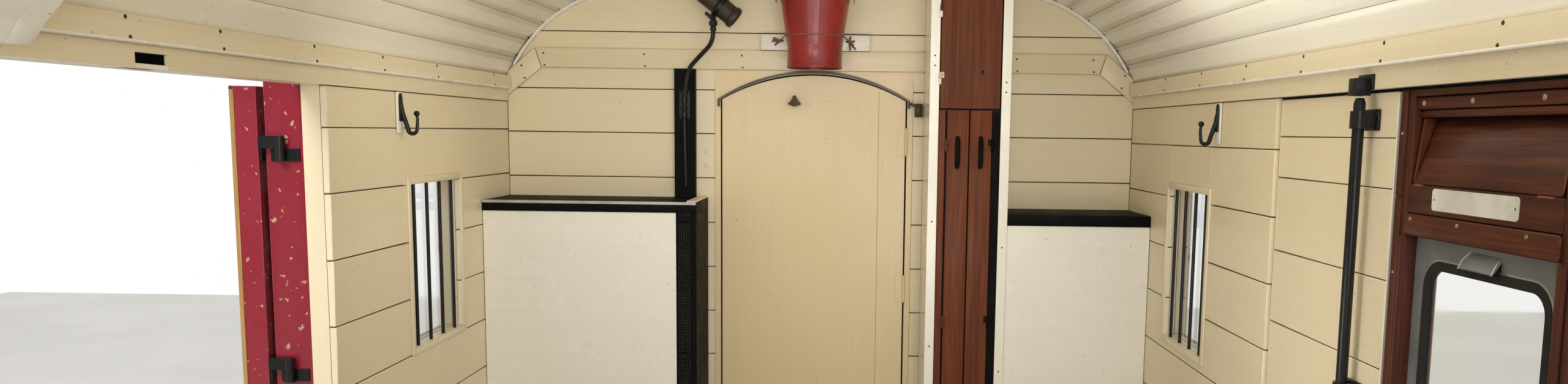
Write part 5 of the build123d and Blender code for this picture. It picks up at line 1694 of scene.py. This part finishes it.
def leaf_bolt():
    """The bolt of a boarded leaf, with its straps, screws and knob."""
    bolt = Form()
    foot = [(0, 0), (BOLT_R - 0.003, 0), (BOLT_R, 0.004)]
    tip = [(BOLT_R, BOLT_LONG - 0.012), (BOLT_R - 0.004, BOLT_LONG - 0.001), (0, BOLT_LONG)]
    bolt.turned(foot + tip, (BOLT_X, BOLT_Y, BOLT_FOOT), steps=24)
    angles = [math.pi * k / 12 for k in range(13)]
    over = BOLT_R + 0.0005
    arch = [(BOLT_X - over * math.sin(angle), BOLT_Y + STRAP_OUT * math.cos(angle)) for angle in angles]
    outline = [(strap_foot, BOLT_Y + STRAP_OUT)] + arch + [
        (strap_foot, BOLT_Y - STRAP_OUT), (strap_foot, BOLT_Y - STRAP_GAP), (BOLT_X, BOLT_Y - STRAP_GAP),
        (BOLT_X, BOLT_Y + STRAP_GAP), (strap_foot, BOLT_Y + STRAP_GAP)]
    outline = [(x - 0.0045 if x < BOLT_X else x, y) for x, y in outline]
    for z in (0.58, 1.26, 1.89):
        plate_y = (BOLT_Y - 0.037, BOLT_Y + 0.037)
        bolt.box((DOOR_FACE - 0.006, DOOR_FACE), plate_y, (z - 0.024, z + 0.024), 0.002, 2)
        bolt.slab(outline, 2, z - 0.020, z + 0.020)
        for way in (-1, 1):
            for up in (0.012, -0.012):
                screw(bolt, (DOOR_FACE - 0.006, BOLT_Y + way * 0.030, z + up), (-1, 0, 0), 0.0042, any_turn())
    knob = Vector((BOLT_X, BOLT_Y, 1.10))
    bend = [knob + Vector(step) for step in ((-0.008, 0.020, 0), (-0.012, 0.036, 0), (-0.012, 0.05, 0))]
    return bolt.rod([knob] + bend, (0.007, 0.0065, 0.006, 0.008), 12)


for side, place in boarded_places.items():
    node, body = side + "_boarded_leaf", side + "_boarded_door"
    leaf_boards().moved(place).done(node + "_lining", cream_along, "cream_board", body, (node,))
    boarded_outside().moved(place).done(node + "_outside", outside_paint[side], "crimson_panel", body)
    leaf_bolt().moved(place).done(node + "_bolt_rod", black_iron, "black_iron", body, (node + "_bolt",))
print("bolt rods", BOLT_LONG, "m long")

# %% [markdown]
# ### The drop light leaves, inside
# The inside of a drop light leaf is mahogany joinery: stiles, stepped top rails, a sloping hood
# over a rail for the plate, a thick rail over the window, and a boarded panel below it. Blocks
# with eased edges give nearly all of it. Rods give the beads, and slabs the hood's slope.

# %% The drop light leaves' inside
STILE = 0.061
leaf_low_y = NEAR_JAMB + 0.006
leaf_high_y = leaf_low_y + 0.644
light_low, light_high = leaf_low_y + STILE, leaf_high_y - STILE
light_y = (light_low, light_high)
light_z = (LINTEL - 1.008, LINTEL - 0.313)
hood_low, hood_high = LINTEL - 0.203, LINTEL - 0.065
PLATE_RAIL = LINTEL - 0.265
FRAME_X = DOOR_FACE + 0.045
PANEL_TOP = light_z[0] - 0.075
PANEL_FOOT = LEAF_FOOT + 0.13
rails_y = (light_low - 0.02, light_high + 0.02)
top_rails = ((0.012, hood_high, hood_high + 0.016), (0.006, hood_high + 0.017, hood_high + 0.043),
             (-0.002, hood_high + 0.044, LEAF_TOP))
level_rails = (
    ((DOOR_FACE - 0.001, FRAME_X), light_y, (PLATE_RAIL, hood_low - 0.001), 0.003, 2),
    ((DOOR_FACE - 0.006, FRAME_X - 0.020), light_y, (light_z[1], PLATE_RAIL - 0.001), 0.005, 3),
    ((DOOR_FACE, FRAME_X), light_y, (PANEL_TOP, light_z[0]), 0.004, 2),
    ((DOOR_FACE - 0.008, DOOR_FACE + 0.02), (light_low - 0.004, light_high + 0.004),
     (light_z[0] - 0.012, light_z[0] + 0.012), 0.005, 3),
    ((DOOR_FACE, FRAME_X), light_y, (LEAF_FOOT, PANEL_FOOT), 0.003, 2),
)


def droplight_inside():
    """The mahogany inside of a drop light leaf: stiles, rails, the hood and its cheeks."""
    form = Form().use(mahogany_upright)
    for y in ((leaf_low_y, light_low), (light_high, leaf_high_y - 0.010)):
        form.box((DOOR_FACE, FRAME_X), y, (LEAF_FOOT, LEAF_TOP), 0.0022, 2)
    for y in (leaf_high_y - 0.0485, leaf_low_y + 0.0485):
        form.rod([(DOOR_FACE + 0.002, y, light_z[0]), (DOOR_FACE + 0.002, y, light_z[1] - 0.002)], 0.0125, 14)
    for y in ((leaf_high_y - 0.036, leaf_high_y - 0.0102), (leaf_low_y + 0.001, leaf_low_y + 0.030)):
        for z in ((LEAF_FOOT, 1.7235), (1.7250, LEAF_TOP)):
            form.box((DOOR_FACE - 0.004, DOOR_FACE + 0.002), y, z, 0.0015, 2)
    form.use(mahogany_along)
    for inset, foot, top in top_rails:
        form.box((DOOR_FACE + inset, FRAME_X), rails_y, (foot, top), 0.003, 2)
    hood = [(DOOR_FACE + 0.042, hood_high), (DOOR_FACE + 0.001, hood_low), (DOOR_FACE + 0.045, hood_low),
            (DOOR_FACE + 0.050, hood_high)]
    form.slab(hood, 1, light_low + 0.012, light_high - 0.012, 0.001)
    for rail in level_rails:
        form.box(*rail)
    form.use(mahogany_upright)
    form.box((DOOR_FACE + 0.010, FRAME_X), light_y, (PANEL_FOOT, PANEL_TOP), 0.001)
    for count in range(1, 6):
        y = light_low + (light_high - light_low) * count / 6
        x = DOOR_FACE + 0.0105
        form.rod([(x, y, LEAF_FOOT + 0.132), (x, y, light_z[0] - 0.077)], 0.003, 6)
    form.use(door_wood)
    cheek = [(DOOR_FACE + 0.002, hood_low + 0.004), (DOOR_FACE + 0.016, hood_high - 0.001),
             (DOOR_FACE + 0.042, hood_high - 0.001)]
    for y in ((light_low + 0.010, light_low + 0.017), (light_high - 0.017, light_high - 0.010)):
        form.slab(cheek, 1, *y, 0.001)
    form.use(seam_wood)
    for y in ((light_high - 0.058, light_high - 0.022), (light_low + 0.030, light_low + 0.075)):
        form.box((DOOR_FACE - 0.0016, DOOR_FACE + 0.003), y, (hood_low - 0.0042, hood_low - 0.0006), 0.0005)
    for share in (0.17, 0.60, 0.95):
        form.use(brass)
        y = light_low + (light_high - light_low) * share
        cup = (DOOR_FACE + 0.006, y, hood_high + 0.030)
        screw(form, (DOOR_FACE - 0.006, y, PLATE_RAIL - 0.012), (-1, 0, 0), 0.0048, any_turn(), 0.0024)
        form.turned([(0, 0.0), (0.006, 0.0), (0.006, 0.001), (0.0045, 0.002), (0, 0.0012)], cup, (-1, 0, 0), 16)
        form.use(silver_strip)
        screw(form, (DOOR_FACE + 0.0045, y, hood_high + 0.030), (-1, 0, 0), 0.0042, any_turn())
    for z in (0.30, 0.62, 0.92, 1.24, 1.56, 1.86):
        for y in (leaf_low_y + 0.015, leaf_high_y - 0.023):
            screw(form, (DOOR_FACE - 0.0042, y, z), (-1, 0, 0), 0.0034, any_turn())
    return form


print("drop light opening", round(light_high - light_low, 3), "by", round(light_z[1] - light_z[0], 3))

# %% [markdown]
# ### The drop light leaves, outside
# Outside, the leaf is crimson: a sheet in four parts round the window, beads round the opening
# and across the panel, three louvres over the window, and a brass handle.

# %% The drop light leaves' outside
bead_y = (light_low + 0.004, light_high - 0.004)
outside_beads = (
    ((light_low - 0.012, light_low + 0.004), (light_z[0] - 0.012, light_z[1] + 0.012)),
    ((light_high - 0.004, light_high + 0.012), (light_z[0] - 0.012, light_z[1] + 0.012)),
    (bead_y, (light_z[0] - 0.012, light_z[0] + 0.004)),
    (bead_y, (light_z[1] - 0.004, light_z[1] + 0.012)),
    ((leaf_low_y, leaf_high_y), (0.84, 0.872)),
    ((leaf_low_y, leaf_high_y), (0.22, 0.252)),
)


def droplight_outside():
    """The crimson outside of a drop light leaf, with its beads, louvres and edges."""
    form = Form()
    for y, z in (
        ((leaf_low_y, light_low), (LEAF_FOOT, LEAF_TOP)), ((light_high, leaf_high_y), (LEAF_FOOT, LEAF_TOP)),
        (light_y, (light_z[1], LEAF_TOP)), (light_y, (LEAF_FOOT, light_z[0])),
    ):
        form.box((FRAME_X, OUTSIDE - 0.001), y, z, 0.001)
    for y, z in outside_beads:
        form.box((OUTSIDE - 0.002, OUTSIDE + 0.006), y, z, 0.003, 2)
    for number in range(3):
        z = LINTEL - 0.210 + number * 0.045
        louvre = [(OUTSIDE - 0.001, z), (OUTSIDE + 0.020, z - 0.012), (OUTSIDE + 0.022, z - 0.008),
                  (OUTSIDE - 0.001, z + 0.034)]
        form.slab(louvre, 1, light_low + 0.018, light_high - 0.018, 0.001)
    for inset, y in (
        (0.010, (leaf_low_y - 0.0012, leaf_low_y + 0.004)),
        (0.016, (leaf_high_y - 0.004, leaf_high_y + 0.0004)),
    ):
        form.box((DOOR_FACE + inset, OUTSIDE - 0.001), y, (LEAF_FOOT, LEAF_TOP), 0.001)
    return form


def bare_edge():
    """The strip of bare oak on the leaf's hinge side."""
    y = (leaf_low_y - 0.003, leaf_low_y + 0.001)
    return Form().box((DOOR_FACE - 0.0015, DOOR_FACE + 0.010), y, (LEAF_FOOT + 0.01, LEAF_TOP - 0.01), 0.001)


def outside_handle():
    """A bent brass handle on a round rose."""
    grip = Vector((OUTSIDE, leaf_high_y - 0.036, 1.02))
    handle = disc(Form(), grip, (1, 0, 0), 0.022, 0.005, 24)
    bend = [grip + Vector(step) for step in ((0.03, 0, 0), (0.04, -0.02, 0), (0.04, -0.09, 0))]
    return handle.rod([grip] + bend, (0.008, 0.008, 0.0085, 0.007), 12)


print(len(outside_beads), "beads and three louvres on each leaf")

# %% [markdown]
# ### The sash and the white plate
# The sash is a dull aluminium frame with round corners, a black rubber seal, a bright bead
# against the pane and a finger pull along its top. Rounded outlines of equal length make each
# of these frames a simple hoop. The plate over the window is plain white enamel.

# %% The sash and the white plate
CORNER_R = 0.045
pane_y = (light_low + 0.058, light_high - 0.058)
pane_z = (light_z[0] + 0.050, light_z[1] - 0.060)
sash_x = (DOOR_FACE + 0.025, DOOR_FACE + 0.037)
pull_y, pull_z = (light_low + light_high) / 2, light_z[1] - 0.032


def rounded(y, z, radius, grow=0.0, steps=8):
    """A rectangle with rounded corners, as (y, z) points."""
    points = []
    low_y, high_y, low_z, high_z = y[0] + radius, y[1] - radius, z[0] + radius, z[1] - radius
    for cy, cz, start in ((high_y, high_z, 0), (low_y, high_z, 90), (low_y, low_z, 180), (high_y, low_z, 270)):
        for k in range(steps + 1):
            angle = math.radians(start + 90 * k / steps)
            points.append((cy + (radius + grow) * math.cos(angle), cz + (radius + grow) * math.sin(angle)))
    return points


def sash():
    """The drop light's sash with its finger pull, seal and bead."""
    def pane_line(grow):
        return rounded(pane_y, pane_z, CORNER_R, grow)
    front = sash_x[0]
    form = Form().use(aluminium)
    form.hoop(rounded(light_y, light_z, 0.004), pane_line(0.006), 0, *sash_x)
    lip = [(front, pull_z + 0.018), (front - 0.020, pull_z - 0.014), (front - 0.017, pull_z - 0.017),
           (front, pull_z + 0.010)]
    form.slab(lip, 1, pull_y - 0.056, pull_y + 0.056, 0.0006)
    form.use(black_iron)
    for y in (pull_y - 0.0545, pull_y + 0.0515):
        cheek = [(front, pull_z + 0.014), (front - 0.018, pull_z - 0.0165), (front, pull_z - 0.019)]
        form.slab(cheek, 1, y, y + 0.003)
    form.use(silver_strip)
    for way in (-1, 1):
        y = pull_y + way * 0.057
        form.rod([(front, y - way * 0.006, pull_z + 0.019), (front - 0.013, y, pull_z + 0.001),
                  (front - 0.021, y, pull_z - 0.016)], 0.0018, 6)
    form.use(rubber)
    form.hoop(pane_line(0.014), pane_line(-0.005), 0, front - 0.003, sash_x[1] + 0.003)
    form.use(silver_strip)
    return form.hoop(pane_line(0.018), pane_line(0.0145), 0, front - 0.0015, front + 0.001)


def blank_plate():
    """The white plate over the window, with its two screws."""
    form = Form().use(white_enamel)
    outline = rounded((-0.906, -0.609), (LINTEL - 0.254, LINTEL - 0.209), 0.008, steps=4)
    form.slab(outline, 0, DOOR_FACE - 0.0035, DOOR_FACE - 0.0008, 0.0006)
    form.use(steel_screws)
    for y in (-0.897, -0.618):
        screw(form, (DOOR_FACE - 0.0035, y, LINTEL - 0.2315), (-1, 0, 0), 0.0028, 0.8, 0.0006)
    return form


for side, place in droplight_places.items():
    node, body = side + "_droplight_leaf", side + "_droplight_door"
    droplight_inside().moved(place).done(node + "_framing", mahogany_upright, "mahogany", body, (node,))
    droplight_outside().moved(place).done(node + "_outside", outside_paint[side], "crimson_panel", body)
    bare_edge().moved(place).done(node + "_bare_edge", raw_edge, "mahogany", body)
    sash().moved(place).done(side + "_drop_sash", aluminium, "sash_aluminium", body,
                             (side + "_droplight_sash",))
    blank_plate().moved(place).done(side + "_blank_plate", white_enamel, "white_board", body)
    outside_handle().moved(place).done(side + "_outside_handle", brass, "brass_fitting", body)
print("four leaves dressed")

# %% [markdown]
# ## The pale floor
# The coach stands on a plain pale floor that catches its shadow. It rides on no body and isn't
# part of the coach.

# %% The pale floor
FLOOR_HALF = 9
floor = Form().box((-FLOOR_HALF, FLOOR_HALF), (-FLOOR_HALF, FLOOR_HALF), (-0.02, 0.0))
data = bpy.data.meshes.new("studio_floor")
floor.mesh.to_mesh(data)
data.materials.append(pale_floor)
studio_floor = bpy.data.objects.new("studio_floor", data)
bpy.context.scene.collection.objects.link(studio_floor)
print("floor", 2 * FLOOR_HALF, "m square")
